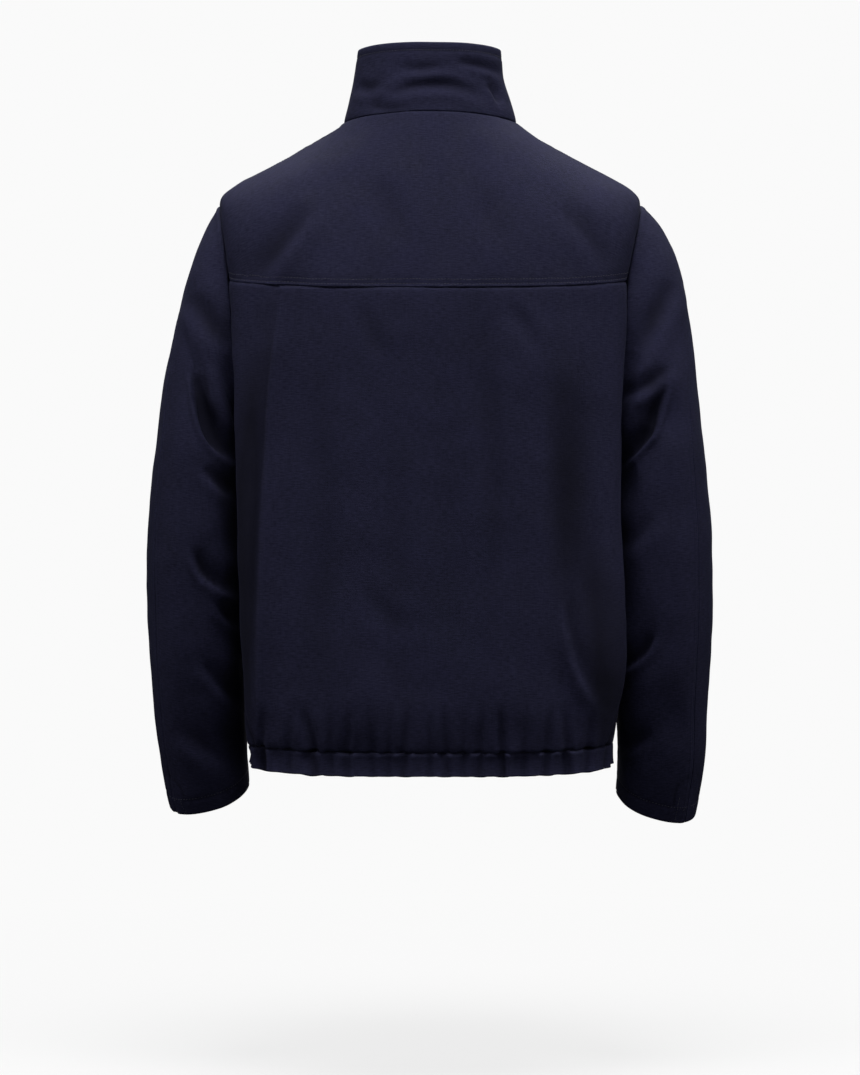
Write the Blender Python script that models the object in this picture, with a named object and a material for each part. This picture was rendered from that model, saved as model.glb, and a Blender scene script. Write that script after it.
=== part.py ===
"""A zip-front jacket with a stand collar, in its worn shape, built from hollow cloth panels.

Metres, +Z up. The front faces -Y, so the back faces +Y and the wearer's left side is +X.
The origin is in the middle of the neck, level with the neck end of the shoulders, where the jacket is held.
"""

import math
from collections import namedtuple

import bmesh
import bpy
import numpy as np
from mathutils.kdtree import KDTree

MM = 0.001

# Cloth thicknesses and seams
BODY_CLOTH = 2.0 * MM
COLLAR_CLOTH = 3.0 * MM
CUFF_CLOTH = 3.2 * MM
CASING_CLOTH = 4.0 * MM
SEAM_GAP = 0.3 * MM
SEAM_SINK = 0.9 * MM
SEAM_WALL_SHARE = 0.8
SAME_PLACE = 0.01 * MM
SMALLEST_GAP = 1e-6 * MM
ROLL_SHARE = 0.45
SEAM_ROLL = 4.5 * MM
CASING_PUFF = 1.6 * MM

# Front opening
ZIP_HALF_OPENING = 3.5 * MM

# How many faces each seam is divided into
NECK_FACES = 7
SHOULDER_FACES = 7
YOKE_ARMHOLE_FACES = 5
LOWER_ARMHOLE_FACES = 6
SIDE_SEAM_FACES = 8
ARMHOLE_FACES = YOKE_ARMHOLE_FACES + LOWER_ARMHOLE_FACES
SLEEVE_HEAD_RINGS = 8
CASING_SPLIT = 3
FOLD_SHARE = 0.38
FOLD_DENSITY = 0.32
EVENING_PASSES = 400
QUARTER_LENGTH = 0.25
LEVEL_LENGTH = 0.037

# One row for each level of the body, from the neck seam down. Heights are at the side, the centre back and
# the centre front. half_width is at the side, back_y and front_y are the depths at the centre. The squareness
# is the exponent of the oval, flare is how far the back corner swings out past the arm, and sway is how far
# the whole level hangs towards the wearer's left.
Level = namedtuple(
    "Level", "side_z back_z front_z half_width back_y front_y back_square front_square flare sway"
)
LEVELS = [
    Level(0.0000, 0.004, -0.063, 0.0905, 0.0630, -0.079, 2.0, 2.0, 0.000, 0.0000),
    Level(-0.0165, -0.015, -0.078, 0.1180, 0.0740, -0.088, 2.0, 2.0, 0.000, 0.0000),
    Level(-0.0310, -0.036, -0.096, 0.1450, 0.0850, -0.097, 2.1, 2.1, 0.000, 0.0000),
    Level(-0.0445, -0.058, -0.114, 0.1690, 0.0950, -0.106, 2.2, 2.2, 0.000, 0.0000),
    Level(-0.0565, -0.081, -0.134, 0.1910, 0.1040, -0.114, 2.3, 2.3, 0.000, 0.0000),
    Level(-0.0665, -0.105, -0.155, 0.2055, 0.1110, -0.120, 2.5, 2.4, 0.002, 0.0000),
    Level(-0.0800, -0.128, -0.178, 0.2150, 0.1170, -0.125, 2.7, 2.5, 0.004, 0.0000),
    Level(-0.1120, -0.153, -0.200, 0.2115, 0.1220, -0.129, 3.0, 2.6, 0.008, 0.0000),
    Level(-0.1620, -0.178, -0.222, 0.2010, 0.1250, -0.132, 3.4, 2.7, 0.010, 0.0020),
    Level(-0.2070, -0.224, -0.250, 0.1925, 0.1265, -0.134, 3.8, 2.8, 0.016, 0.0005),
    Level(-0.2550, -0.270, -0.280, 0.1845, 0.1270, -0.135, 4.1, 2.9, 0.020, 0.0010),
    Level(-0.3150, -0.320, -0.322, 0.1785, 0.1270, -0.136, 4.4, 3.0, 0.023, 0.0020),
    Level(-0.3800, -0.380, -0.380, 0.1770, 0.1270, -0.136, 4.5, 3.1, 0.023, 0.0020),
    Level(-0.4600, -0.460, -0.460, 0.1775, 0.1270, -0.137, 4.5, 3.1, 0.022, 0.0005),
    Level(-0.5400, -0.541, -0.540, 0.1785, 0.1280, -0.138, 4.4, 3.1, 0.020, -0.0035),
    Level(-0.5880, -0.591, -0.588, 0.1790, 0.1270, -0.136, 4.0, 3.0, 0.016, -0.0030),
    Level(-0.6130, -0.619, -0.614, 0.1805, 0.1220, -0.131, 3.6, 2.9, 0.013, -0.0015),
    Level(-0.6250, -0.6345, -0.628, 0.1815, 0.1180, -0.126, 3.4, 2.8, 0.011, -0.0015),
    Level(-0.6480, -0.6575, -0.650, 0.1815, 0.1160, -0.124, 3.4, 2.8, 0.009, -0.0010),
]
MID_Y = -0.004
NECK, SHOULDER_POINT, YOKE_SEAM, UNDERARM, CASING_SEAM, HEM = 0, 6, 8, 11, 17, 18

# The back corner that swings out behind the arm
CORNER_Y = 0.088
CORNER_REACH = 0.030

# Positions round the body, counted in quarters from the centre back by way of the left side
CENTRE_BACK, LEFT_SIDE, CENTRE_FRONT, RIGHT_SIDE = 0.0, 1.0, 2.0, 3.0
SHOULDER_FORWARD = 0.06
SHOULDER_SEAM = LEFT_SIDE + SHOULDER_FORWARD
ARMHOLE_BACK_CUT = 0.27
ARMHOLE_FRONT_CUT = 0.26

# Folds that hang in the body cloth: a line from one end to the other, by distance round the body from the
# centre back (positive to the wearer's left) and height. A negative depth is a trough.
Fold = namedtuple("Fold", "start_round start_z end_round end_z width depth")
BODY_FOLDS = [
    Fold(0.158, -0.215, 0.178, -0.360, 0.011, -0.008),
    Fold(0.178, -0.360, 0.192, -0.625, 0.012, -0.017),
    Fold(0.140, -0.240, 0.164, -0.610, 0.010, 0.0045),
    Fold(0.118, -0.095, 0.150, -0.160, 0.015, -0.006),
    Fold(-0.080, -0.205, -0.062, -0.600, 0.016, -0.0045),
    Fold(-0.040, -0.240, -0.020, -0.480, 0.026, 0.003),
    Fold(-0.138, -0.220, -0.135, -0.500, 0.020, -0.006),
    Fold(-0.135, -0.500, -0.172, -0.585, 0.014, -0.009),
    Fold(-0.108, -0.540, -0.148, -0.612, 0.012, 0.006),
    Fold(0.062, -0.560, 0.052, -0.625, 0.014, -0.004),
    Fold(-0.205, -0.330, -0.215, -0.600, 0.016, -0.006),
    Fold(0.330, -0.250, 0.350, -0.560, 0.022, -0.008),
    Fold(0.300, -0.360, 0.325, -0.600, 0.016, 0.004),
    Fold(0.420, -0.300, 0.440, -0.600, 0.024, -0.006),
    Fold(-0.335, -0.260, -0.350, -0.580, 0.022, -0.008),
    Fold(-0.300, -0.380, -0.320, -0.600, 0.016, 0.004),
    Fold(-0.430, -0.280, -0.450, -0.590, 0.026, -0.006),
]
BACK_FOLD_SIDEWAYS = 0.35
NECK_FADE = 1.5
FOLD_END = 0.12
FOLD_END_FADE = 0.27

# The drawcord gathers the hem: how far each pucker is from the centre back, and its half width and depth
Pucker = namedtuple("Pucker", "round_ width depth")
BACK_PUCKERS = [
    Pucker(0.166, 0.007, 0.0030),
    Pucker(0.116, 0.007, 0.0042),
    Pucker(0.081, 0.008, 0.0030),
    Pucker(0.052, 0.009, 0.0018),
    Pucker(0.022, 0.008, 0.0024),
    Pucker(-0.016, 0.007, 0.0020),
    Pucker(-0.048, 0.008, 0.0026),
    Pucker(-0.074, 0.007, 0.0044),
    Pucker(-0.100, 0.009, 0.0018),
    Pucker(-0.117, 0.007, 0.0030),
    Pucker(-0.142, 0.007, 0.0034),
    Pucker(-0.162, 0.007, 0.0026),
]
FRONT_PUCKERS_FROM, FRONT_PUCKERS_TO = 0.190, 0.500
FRONT_PUCKER_PITCH = 0.029
FRONT_PUCKER_WIDTH = 0.008
FRONT_PUCKER_DEPTH = 0.0030
PUCKER_DEPTH_SWING = 0.0009
PUCKER_PITCH_SWING = 0.28
UNEVEN_PITCH = 2.4
UNEVEN_DEPTH = 1.7
GATHER_RISE = 0.030

# Sleeve sections from the upper arm down to the cuff, for the left arm; the right one mirrors them
SleeveSection = namedtuple("SleeveSection", "z outer_x inner_x mid_y half_depth")
SLEEVE_SECTIONS = [
    SleeveSection(-0.330, 0.2797, 0.1865, -0.006, 0.0830),
    SleeveSection(-0.380, 0.2857, 0.1860, -0.006, 0.0820),
    SleeveSection(-0.440, 0.2897, 0.1860, -0.009, 0.0800),
    SleeveSection(-0.500, 0.2902, 0.1865, -0.015, 0.0775),
    SleeveSection(-0.560, 0.2867, 0.1870, -0.025, 0.0735),
    SleeveSection(-0.608, 0.2817, 0.1870, -0.036, 0.0690),
    SleeveSection(-0.650, 0.2757, 0.1860, -0.046, 0.0640),
    SleeveSection(-0.686, 0.2687, 0.1835, -0.057, 0.0580),
]
SLEEVE_SQUARE = 2.25
GIRTH_PER_DEGREE = 0.00118
CUFF_TILT = 0.09
CUFF_OUT_FROM = 0.5
CUFF_TILT_FROM = 0.6
CUFF_CHANGE = 0.4
SLEEVE_LOWER_RINGS = 11
HEAD_FOLD_RINGS = 3.0
TANGENT_STEP = 0.2
UNDERARM_SEAM_DEG = 180.0
FULL_TURN = 360

# How each sleeve leaves its armhole at the top, how far it drops, how far its cuff swings out, and where its
# overarm seam runs in degrees from the outer side
SleeveSide = namedtuple("SleeveSide", "name sign top_out top_down drop cuff_out overarm_deg")
SLEEVE_SIDES = [
    SleeveSide("left", 1.0, 0.54, 0.84, 0.0, 0.003, 43.0),
    SleeveSide("right", -1.0, 0.81, 0.59, 0.008, 0.009, 54.0),
]
HEAD_BACK_DIRECTION = (0.64, 0.18, -0.72)
HEAD_FRONT_DIRECTION = (0.66, -0.06, -0.72)
HEAD_UNDER_DIRECTION = (0.97, 0.00, -0.10)
HEAD_FULLNESS = 0.95

# Folds in a sleeve, by degrees round the arm from the outer side (positive to the back) and height
SLEEVE_FOLDS = {
    "left": [
        Fold(105, -0.205, 165, -0.330, 0.014, -0.005),
        Fold(60, -0.235, 120, -0.330, 0.015, -0.003),
        Fold(95, -0.265, 150, -0.375, 0.013, 0.005),
        Fold(100, -0.300, 172, -0.405, 0.014, -0.008),
        Fold(112, -0.430, 172, -0.480, 0.013, -0.006),
        Fold(118, -0.520, 176, -0.560, 0.014, -0.006),
        Fold(70, -0.590, 150, -0.640, 0.015, -0.004),
        Fold(-60, -0.330, -150, -0.400, 0.018, -0.005),
        Fold(-50, -0.420, -140, -0.470, 0.018, -0.006),
        Fold(-60, -0.520, -150, -0.560, 0.018, -0.004),
    ],
    "right": [
        Fold(70, -0.150, 150, -0.300, 0.014, -0.004),
        Fold(85, -0.230, 165, -0.330, 0.013, 0.004),
        Fold(72, -0.285, 160, -0.385, 0.014, -0.008),
        Fold(60, -0.255, 150, -0.330, 0.013, 0.005),
        Fold(100, -0.520, 170, -0.560, 0.014, -0.007),
        Fold(75, -0.600, 150, -0.640, 0.015, -0.005),
        Fold(-60, -0.310, -150, -0.390, 0.018, -0.005),
        Fold(-50, -0.430, -140, -0.480, 0.018, -0.006),
        Fold(-60, -0.540, -150, -0.580, 0.018, -0.004),
    ],
}

# The stand collar: its top edge, in the same terms as a body level
COLLAR_TOP = Level(0.071, 0.074, 0.016, 0.0740, 0.0510, -0.0820, 2.0, 2.0, 0.000, 0.0)
COLLAR_FACES = 5
COLLAR_WAIST = 0.0015
COLLAR_TILT = 0.0022
COLLAR_FRONT_FROM, COLLAR_FRONT_TO = 1.2, 2.8
FAR_ROUND = 1.0
COLLAR_CREASES = [
    Fold(-0.045, 0.040, 0.040, 0.043, 0.010, -0.0022),
    Fold(-0.085, 0.046, -0.060, 0.026, 0.009, -0.0035),
    Fold(-0.100, 0.060, -0.040, 0.064, 0.008, -0.0016),
]

# Zip: two tapes behind the fronts, a chain of teeth between them, a slider and its pull tab
TAPE_WIDTH = 13.0 * MM
TAPE_THICKNESS = 0.9 * MM
CHAIN_HALF_WIDTH = 2.9 * MM
CHAIN_THICKNESS = 1.9 * MM
SLIDER_LENGTH = 11.0 * MM
SLIDER_HALF_WIDTH = 4.6 * MM
SLIDER_NECK_HALF_WIDTH = 2.9 * MM
SLIDER_TOP_DROP = 5.0 * MM
SLIDER_NECK_DEPTH = 2.6 * MM
SLIDER_PLATE = 1.2 * MM
SLIDER_CLEARANCE = 0.4 * MM
BRIDGE_HALF_WIDTH = 1.1 * MM
BRIDGE_BAR = 1.1 * MM
BRIDGE_SLOT = 2.4 * MM
BRIDGE_HALF_LENGTH = 3.9 * MM
PULL_THICKNESS = 1.2 * MM
PULL_HALF_WIDTH = 3.4 * MM
PULL_LENGTH = 27.0 * MM
PULL_EYE_LENGTH = 7.0 * MM
PULL_EYE_HALF_WIDTH = 1.7 * MM
PULL_BAR = 1.2 * MM
PULL_BAR_DROP = -1.6 * MM
PULL_CORNER = 0.8 * MM
PULL_END_CORNER = 1.6 * MM
EYE_STEP = 0.4 * MM

# Materials
NAVY = (0.0100, 0.0106, 0.0235, 1.0)
TAPE_NAVY = (0.0090, 0.0095, 0.0200, 1.0)
GUNMETAL = (0.16, 0.16, 0.17, 1.0)


def material(name, colour, roughness, metallic=0.0):
    made = bpy.data.materials.new(name)
    made.use_nodes = True
    shader = made.node_tree.nodes["Principled BSDF"]
    shader.inputs["Base Color"].default_value = colour
    shader.inputs["Roughness"].default_value = roughness
    shader.inputs["Metallic"].default_value = metallic
    made.diffuse_color = colour
    return made


# The body's surface

def smooth_row(rows, position):
    """The row at a fractional position in a table, on a smooth curve through the rows."""
    values = np.array(rows, float)
    last = len(values) - 1
    position = min(max(position, 0.0), float(last))
    i = min(int(position), last - 1)
    t = position - i
    before = values[max(i - 1, 0)]
    after = values[min(i + 2, last)]
    here, there = values[i], values[i + 1]
    return here + 0.5 * t * (
        there - before
        + t * (2 * before - 5 * here + 4 * there - after + t * (3 * (here - there) + after - before))
    )


def smoothstep(x):
    x = np.clip(x, 0.0, 1.0)
    return x * x * (3 - 2 * x)


QUARTER_SAMPLES = 72


def quarter(level, is_back):
    """One quarter of a level's oval, from its centre line to its side, as points and distances along it."""
    turn = np.linspace(math.pi / 2, 0, QUARTER_SAMPLES)
    square = level.back_square if is_back else level.front_square
    reach = (level.back_y if is_back else level.front_y) - MID_Y
    x = level.half_width * np.cos(turn) ** (2 / square)
    depth = np.sin(turn) ** (2 / square)
    y = MID_Y + reach * depth
    if is_back:
        x = x + level.flare * np.exp(-(((y - CORNER_Y) / CORNER_REACH) ** 2)) * smoothstep(x / 0.10)
    centre_z = level.back_z if is_back else level.front_z
    z = level.side_z + (centre_z - level.side_z) * depth**2
    points = np.column_stack([x, y, z])
    points[0, 0] = 0.0
    lengths = np.concatenate([[0], np.cumsum(np.linalg.norm(np.diff(points, axis=0), axis=1))])
    return points, lengths


_quarters = {}


def plain_body(round_, position):
    """The body's point at a place round it, in quarters, and a fractional level, and its distance round."""
    key = round(float(position), 9)
    if key not in _quarters:
        level = Level(*smooth_row(LEVELS, position))
        _quarters[key] = quarter(level, True), quarter(level, False), level.sway
    back, front, sway = _quarters[key]
    round_ = round_ % 4
    sign = 1.0 if round_ <= CENTRE_FRONT else -1.0
    from_back = round_ if sign > 0 else 4 - round_
    is_back = from_back <= 1.0
    points, lengths = back if is_back else front
    share = from_back if is_back else 2 - from_back
    along = share * lengths[-1]
    point = np.array([np.interp(along, lengths, points[:, i]) for i in range(3)])
    point[0] = point[0] * sign + sway
    distance = along if is_back else back[1][-1] + lengths[-1] - along
    return point, sign * distance


def off_segment(u, v, fold, scale=1.0):
    """How deep a fold is at a point: its soft cross-section, fading out at its ends."""
    start = np.array([fold.start_round * scale, fold.start_z])
    run = np.array([fold.end_round * scale, fold.end_z]) - start
    offset = np.array([u * scale, v]) - start
    along = np.dot(offset, run) / np.dot(run, run)
    across = np.linalg.norm(offset - np.clip(along, 0, 1) * run)
    start_fade = smoothstep((along + FOLD_END) / FOLD_END_FADE)
    end_fade = start_fade * smoothstep((1 + FOLD_END - along) / FOLD_END_FADE)
    return fold.depth * math.exp(-((across / fold.width) ** 2)) * end_fade


def front_puckers():
    """Puckers round the sides and front, unevenly spaced, as a drawcord leaves them."""
    made = []
    place = FRONT_PUCKERS_FROM
    count = 0
    while place < FRONT_PUCKERS_TO:
        swing = math.sin(UNEVEN_PITCH * count)
        for side in (-1, 1):
            depth = FRONT_PUCKER_DEPTH + PUCKER_DEPTH_SWING * math.sin(UNEVEN_DEPTH * count + side)
            made.append(Pucker(side * place, FRONT_PUCKER_WIDTH, depth))
        place += FRONT_PUCKER_PITCH * (1 + PUCKER_PITCH_SWING * swing)
        count += 1
    return made


PUCKERS = BACK_PUCKERS + front_puckers()


def gather(distance, height_above_seam):
    """How far the drawcord's gathers pull the cloth in at a place round the hem."""
    fade = math.exp(-max(height_above_seam, 0.0) / GATHER_RISE)
    return -fade * sum(p.depth * math.exp(-(((distance - p.round_) / p.width) ** 2)) for p in PUCKERS)


def body_relief(distance, z, is_casing=False):
    folds = sum(off_segment(distance, z, fold) for fold in BODY_FOLDS)
    seam_z = LEVELS[CASING_SEAM].back_z
    return folds + gather(distance, 0.0 if is_casing else z - seam_z)


def body_normal(round_, position):
    step_round, step_level = 0.01, 0.03
    along = plain_body(round_ + step_round, position)[0] - plain_body(round_ - step_round, position)[0]
    low = min(position + step_level, HEM)
    high = max(position - step_level, NECK)
    down = plain_body(round_, low)[0] - plain_body(round_, high)[0]
    normal = np.cross(along, down)
    return -normal / np.linalg.norm(normal)


def body(round_, position, is_casing=False):
    point, distance = plain_body(round_, position)
    relief = body_relief(distance, point[2], is_casing)
    # The neck seam keeps its plain line, so that the collar follows it.
    relief *= smoothstep(position / NECK_FADE)
    direction = body_normal(round_, position)
    if point[1] > 0:
        # Folds in the back sink forwards and leave its outline in place.
        direction = direction * np.array([BACK_FOLD_SIDEWAYS, 1.0, 1.0])
        direction /= np.linalg.norm(direction)
    return point + direction * relief


# Grids of points for the panels, each as rows of (round, level) pairs turned into points

def armhole(turn, is_back):
    """The armhole's edge in (round, level), from the shoulder point at 0 to the underarm at pi."""
    forward = SHOULDER_FORWARD * (1 + math.cos(turn)) / 2
    cut = -ARMHOLE_BACK_CUT if is_back else ARMHOLE_FRONT_CUT
    level = SHOULDER_POINT + (UNDERARM - SHOULDER_POINT) * (1 - math.cos(turn)) / 2
    return np.array([LEFT_SIDE + forward + cut * math.sin(turn), level])


YOKE_TURN = math.acos(1 - 2 * (YOKE_SEAM - SHOULDER_POINT) / (UNDERARM - SHOULDER_POINT))


def back_armhole_turns():
    upper = np.linspace(0, YOKE_TURN, YOKE_ARMHOLE_FACES + 1)
    lower = np.linspace(YOKE_TURN, math.pi, LOWER_ARMHOLE_FACES + 1)
    return np.concatenate([upper, lower[1:]])


def between(a, b, faces):
    """Points along a straight line in (round, level), both ends included."""
    return [np.array(a) + (np.array(b) - np.array(a)) * i / faces for i in range(faces + 1)]


def closer_at_fold(a, b, faces):
    """Points from the side to the centre back, set closer together where the deepest fold hangs."""
    start_phase = math.sin(2 * math.pi * FOLD_SHARE)
    places = []
    for i in range(faces + 1):
        share = i / faces
        phase = math.sin(2 * math.pi * (share - FOLD_SHARE))
        share -= FOLD_DENSITY / (2 * math.pi) * (phase + start_phase)
        places.append(np.array(a) + (np.array(b) - np.array(a)) * share)
    return places


def coons(top, bottom, left, right):
    """A grid in (round, level) filled in between four edges that meet at the corners."""
    rows, columns = len(left), len(top)
    grid = np.zeros((rows, columns, 2))
    for j in range(rows):
        v = j / (rows - 1)
        for i in range(columns):
            u = i / (columns - 1)
            grid[j, i] = (
                (1 - v) * top[i] + v * bottom[i] + (1 - u) * left[j] + u * right[j]
                - (1 - u) * (1 - v) * top[0] - u * (1 - v) * top[-1]
                - (1 - u) * v * bottom[0] - u * v * bottom[-1]
            )
    return evened(grid)


def evened(grid):
    """Moves a grid's inner points until its lines cross the panel evenly, without folding over its edges."""
    flat = grid * np.array([QUARTER_LENGTH, LEVEL_LENGTH])
    for _ in range(EVENING_PASSES):
        up, down = flat[:-2, 1:-1], flat[2:, 1:-1]
        left, right = flat[1:-1, :-2], flat[1:-1, 2:]
        along, across = (right - left) / 2, (down - up) / 2
        across_size = (across**2).sum(axis=2, keepdims=True)
        along_size = (along**2).sum(axis=2, keepdims=True)
        slant = (along * across).sum(axis=2, keepdims=True)
        corners = flat[2:, 2:] - flat[:-2, 2:] - flat[2:, :-2] + flat[:-2, :-2]
        flat[1:-1, 1:-1] = (
            across_size * (left + right) + along_size * (up + down) - slant / 2 * corners
        ) / (2 * (across_size + along_size))
    return flat / np.array([QUARTER_LENGTH, LEVEL_LENGTH])


def shoulder_and_neck(centre):
    """A top edge: along the shoulder seam to the neck, then round the neck to the centre line."""
    seam = between((SHOULDER_SEAM, SHOULDER_POINT), (SHOULDER_SEAM, NECK), SHOULDER_FACES)
    neck = between((SHOULDER_SEAM, NECK), (centre, NECK), NECK_FACES)
    return seam + neck[1:]


def opening_edge_round(position):
    """Where a front's edge lies, in quarters, so that it stays beside the zip."""
    front = quarter(Level(*smooth_row(LEVELS, position)), False)
    return CENTRE_FRONT - ZIP_HALF_OPENING / front[1][-1]


def yoke_half():
    columns = SHOULDER_FACES + NECK_FACES
    edge = armhole(YOKE_TURN, True)
    return coons(
        shoulder_and_neck(CENTRE_BACK),
        closer_at_fold(edge, (CENTRE_BACK, YOKE_SEAM), columns),
        [armhole(turn, True) for turn in back_armhole_turns()[: YOKE_ARMHOLE_FACES + 1]],
        between((CENTRE_BACK, NECK), (CENTRE_BACK, YOKE_SEAM), YOKE_ARMHOLE_FACES),
    )


def side_seam():
    return between((LEFT_SIDE, UNDERARM), (LEFT_SIDE, CASING_SEAM), SIDE_SEAM_FACES)


def lower_back_half():
    columns = SHOULDER_FACES + NECK_FACES
    edge = armhole(YOKE_TURN, True)
    side = [armhole(turn, True) for turn in back_armhole_turns()[YOKE_ARMHOLE_FACES:]] + side_seam()[1:]
    return coons(
        closer_at_fold(edge, (CENTRE_BACK, YOKE_SEAM), columns),
        closer_at_fold((LEFT_SIDE, CASING_SEAM), (CENTRE_BACK, CASING_SEAM), columns),
        side,
        between((CENTRE_BACK, YOKE_SEAM), (CENTRE_BACK, CASING_SEAM), len(side) - 1),
    )


def front_half():
    columns = SHOULDER_FACES + NECK_FACES
    side = [armhole(turn, False) for turn in np.linspace(0, math.pi, ARMHOLE_FACES + 1)] + side_seam()[1:]
    rows = len(side) - 1
    levels = [CASING_SEAM * j / rows for j in range(rows + 1)]
    centre = [np.array([opening_edge_round(level), level]) for level in levels]
    return coons(
        shoulder_and_neck(centre[0][0]),
        between((LEFT_SIDE, CASING_SEAM), centre[-1], columns),
        side,
        centre,
    )


def mirrored(grid):
    """The same grid on the wearer's right: its columns run the other way round the body."""
    other = grid[:, ::-1].copy()
    other[..., 0] = 4 - other[..., 0]
    return other


def joined_halves(left_half):
    """Both halves of a back panel as one grid, from the left side through the centre back to the right."""
    return np.concatenate([left_half[:, :-1], mirrored(left_half)], axis=1)


def to_points(grid, surface=body):
    return np.array([[surface(*place) for place in row] for row in grid])


# How far down the casing each row of points is, and how much of its puff it takes
CASING_ROWS = [(0.28, 0.85), (0.72, 0.85), (1.0, 0.1)]


def casing_grid():
    """The hem casing: its top edge follows the panels' lower edges, and below it is divided more finely."""
    columns = SHOULDER_FACES + NECK_FACES
    first = between((opening_edge_round(CASING_SEAM), CASING_SEAM), (LEFT_SIDE, CASING_SEAM), columns)
    second = closer_at_fold((LEFT_SIDE, CASING_SEAM), (CENTRE_BACK, CASING_SEAM), columns)
    half = [place[0] for place in first + second[1:]]
    coarse = half + [4 - place for place in half[-2::-1]]
    places = []
    for a, b in zip(coarse, coarse[1:]):
        if b > a:
            b -= 4
        places += [a + (b - a) * i / CASING_SPLIT for i in range(CASING_SPLIT)]
    places.append(coarse[-1])
    top = [body(place, CASING_SEAM) for place in places]
    for i in range(len(top)):
        over = i % CASING_SPLIT
        if over:
            a, b = top[i - over], top[i - over + CASING_SPLIT]
            top[i] = a + (b - a) * over / CASING_SPLIT
    rows = [top]
    for share, puff in CASING_ROWS:
        level = CASING_SEAM + share * (HEM - CASING_SEAM)
        row = [body(place, level, True) + puff * CASING_PUFF * body_normal(place, level) for place in places]
        rows.append(row)
    return np.array(rows)


# Sleeves

def sleeve_ring(section, tangent, degrees, sign, drop):
    """A point on a sleeve's section, at some degrees round the arm from its outer side."""
    centre = np.array([(section.outer_x + section.inner_x) / 2, section.mid_y, section.z - drop])
    half_width = (section.outer_x - section.inner_x) / 2
    out = np.array([1.0, 0.0, 0.0]) - tangent * tangent[0]
    out /= np.linalg.norm(out)
    back = np.cross(out, tangent)
    turn = math.radians(degrees)
    across, along = math.cos(turn), math.sin(turn)
    across = math.copysign(abs(across) ** (2 / SLEEVE_SQUARE), across)
    along = math.copysign(abs(along) ** (2 / SLEEVE_SQUARE), along)
    point = centre + half_width * across * out + section.half_depth * along * back
    return point * np.array([sign, 1.0, 1.0])


def sleeve_tangent(position):
    """The sleeve's direction down the arm at a fractional section."""
    a = SleeveSection(*smooth_row(SLEEVE_SECTIONS, position - TANGENT_STEP))
    b = SleeveSection(*smooth_row(SLEEVE_SECTIONS, position + TANGENT_STEP))
    run = np.array([(b.outer_x + b.inner_x - a.outer_x - a.inner_x) / 2, b.mid_y - a.mid_y, b.z - a.z])
    return run / np.linalg.norm(run)


def head_direction(degrees, side):
    """The way the sleeve leaves the armhole at some degrees round it, 0 at the shoulder point."""
    top = np.array([side.top_out, 0.0, -side.top_down])
    middle = np.array(HEAD_BACK_DIRECTION if degrees >= 0 else HEAD_FRONT_DIRECTION)
    under = np.array(HEAD_UNDER_DIRECTION)
    share = abs(degrees) / 90.0
    if share <= 1:
        direction = top + (middle - top) * smoothstep(share)
    else:
        direction = middle + (under - middle) * smoothstep(share - 1)
    return direction / np.linalg.norm(direction) * np.array([side.sign, 1.0, 1.0])


def sleeve_relief(degrees, z, side):
    """Folds are placed in degrees, so that the arm's girth turns them into a distance."""
    total = 0.0
    for f in SLEEVE_FOLDS[side.name]:
        start = f.start_round * GIRTH_PER_DEGREE
        end = f.end_round * GIRTH_PER_DEGREE
        line = Fold(start, f.start_z, end, f.end_z, f.width, f.depth)
        for turn in (-FULL_TURN, 0, FULL_TURN):
            total += off_segment((degrees + turn) * GIRTH_PER_DEGREE, z, line)
    return total


def sleeve_half(side, is_back, edge_points):
    """A sleeve panel's points, from the armhole edge down to the cuff, and how many degrees round each is."""
    turns = back_armhole_turns() if is_back else np.linspace(0, math.pi, ARMHOLE_FACES + 1)
    facing = 1.0 if is_back else -1.0
    rows = [[] for _ in range(SLEEVE_HEAD_RINGS + SLEEVE_LOWER_RINGS + 1)]
    last = len(SLEEVE_SECTIONS) - 1
    first = SLEEVE_SECTIONS[0]
    tangent = sleeve_tangent(0.0)
    for i, turn in enumerate(turns):
        share = i / (len(turns) - 1)
        degrees = side.overarm_deg + (facing * UNDERARM_SEAM_DEG - side.overarm_deg) * share
        start = edge_points[i]
        target = sleeve_ring(first, tangent, degrees, side.sign, 0.0)
        reach = HEAD_FULLNESS * np.linalg.norm(target - start)
        leave = head_direction(facing * math.degrees(turn), side) * reach
        arrive = tangent * np.array([side.sign, 1, 1]) * reach
        for j in range(SLEEVE_HEAD_RINGS):
            t = j / SLEEVE_HEAD_RINGS
            point = (
                (2 * t**3 - 3 * t**2 + 1) * start + (t**3 - 2 * t**2 + t) * leave
                + (3 * t**2 - 2 * t**3) * target + (t**3 - t**2) * arrive
            )
            head_degrees = facing * math.degrees(turn)
            rows[j].append((point, head_degrees + (degrees - head_degrees) * smoothstep(t)))
        for j in range(SLEEVE_LOWER_RINGS + 1):
            low = j / SLEEVE_LOWER_RINGS
            section = SleeveSection(*smooth_row(SLEEVE_SECTIONS, last * low))
            point = sleeve_ring(section, sleeve_tangent(last * low), degrees, side.sign, side.drop * low)
            point[0] += side.sign * side.cuff_out * smoothstep((low - CUFF_OUT_FROM) / CUFF_CHANGE)
            outward = abs(point[0]) - (section.outer_x + section.inner_x) / 2
            point[2] -= CUFF_TILT * outward * smoothstep((low - CUFF_TILT_FROM) / CUFF_CHANGE)
            rows[SLEEVE_HEAD_RINGS + j].append((point, degrees))
    points = np.array([[place[0] for place in row] for row in rows])
    degrees = np.array([[place[1] for place in row] for row in rows])
    return points, degrees


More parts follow.
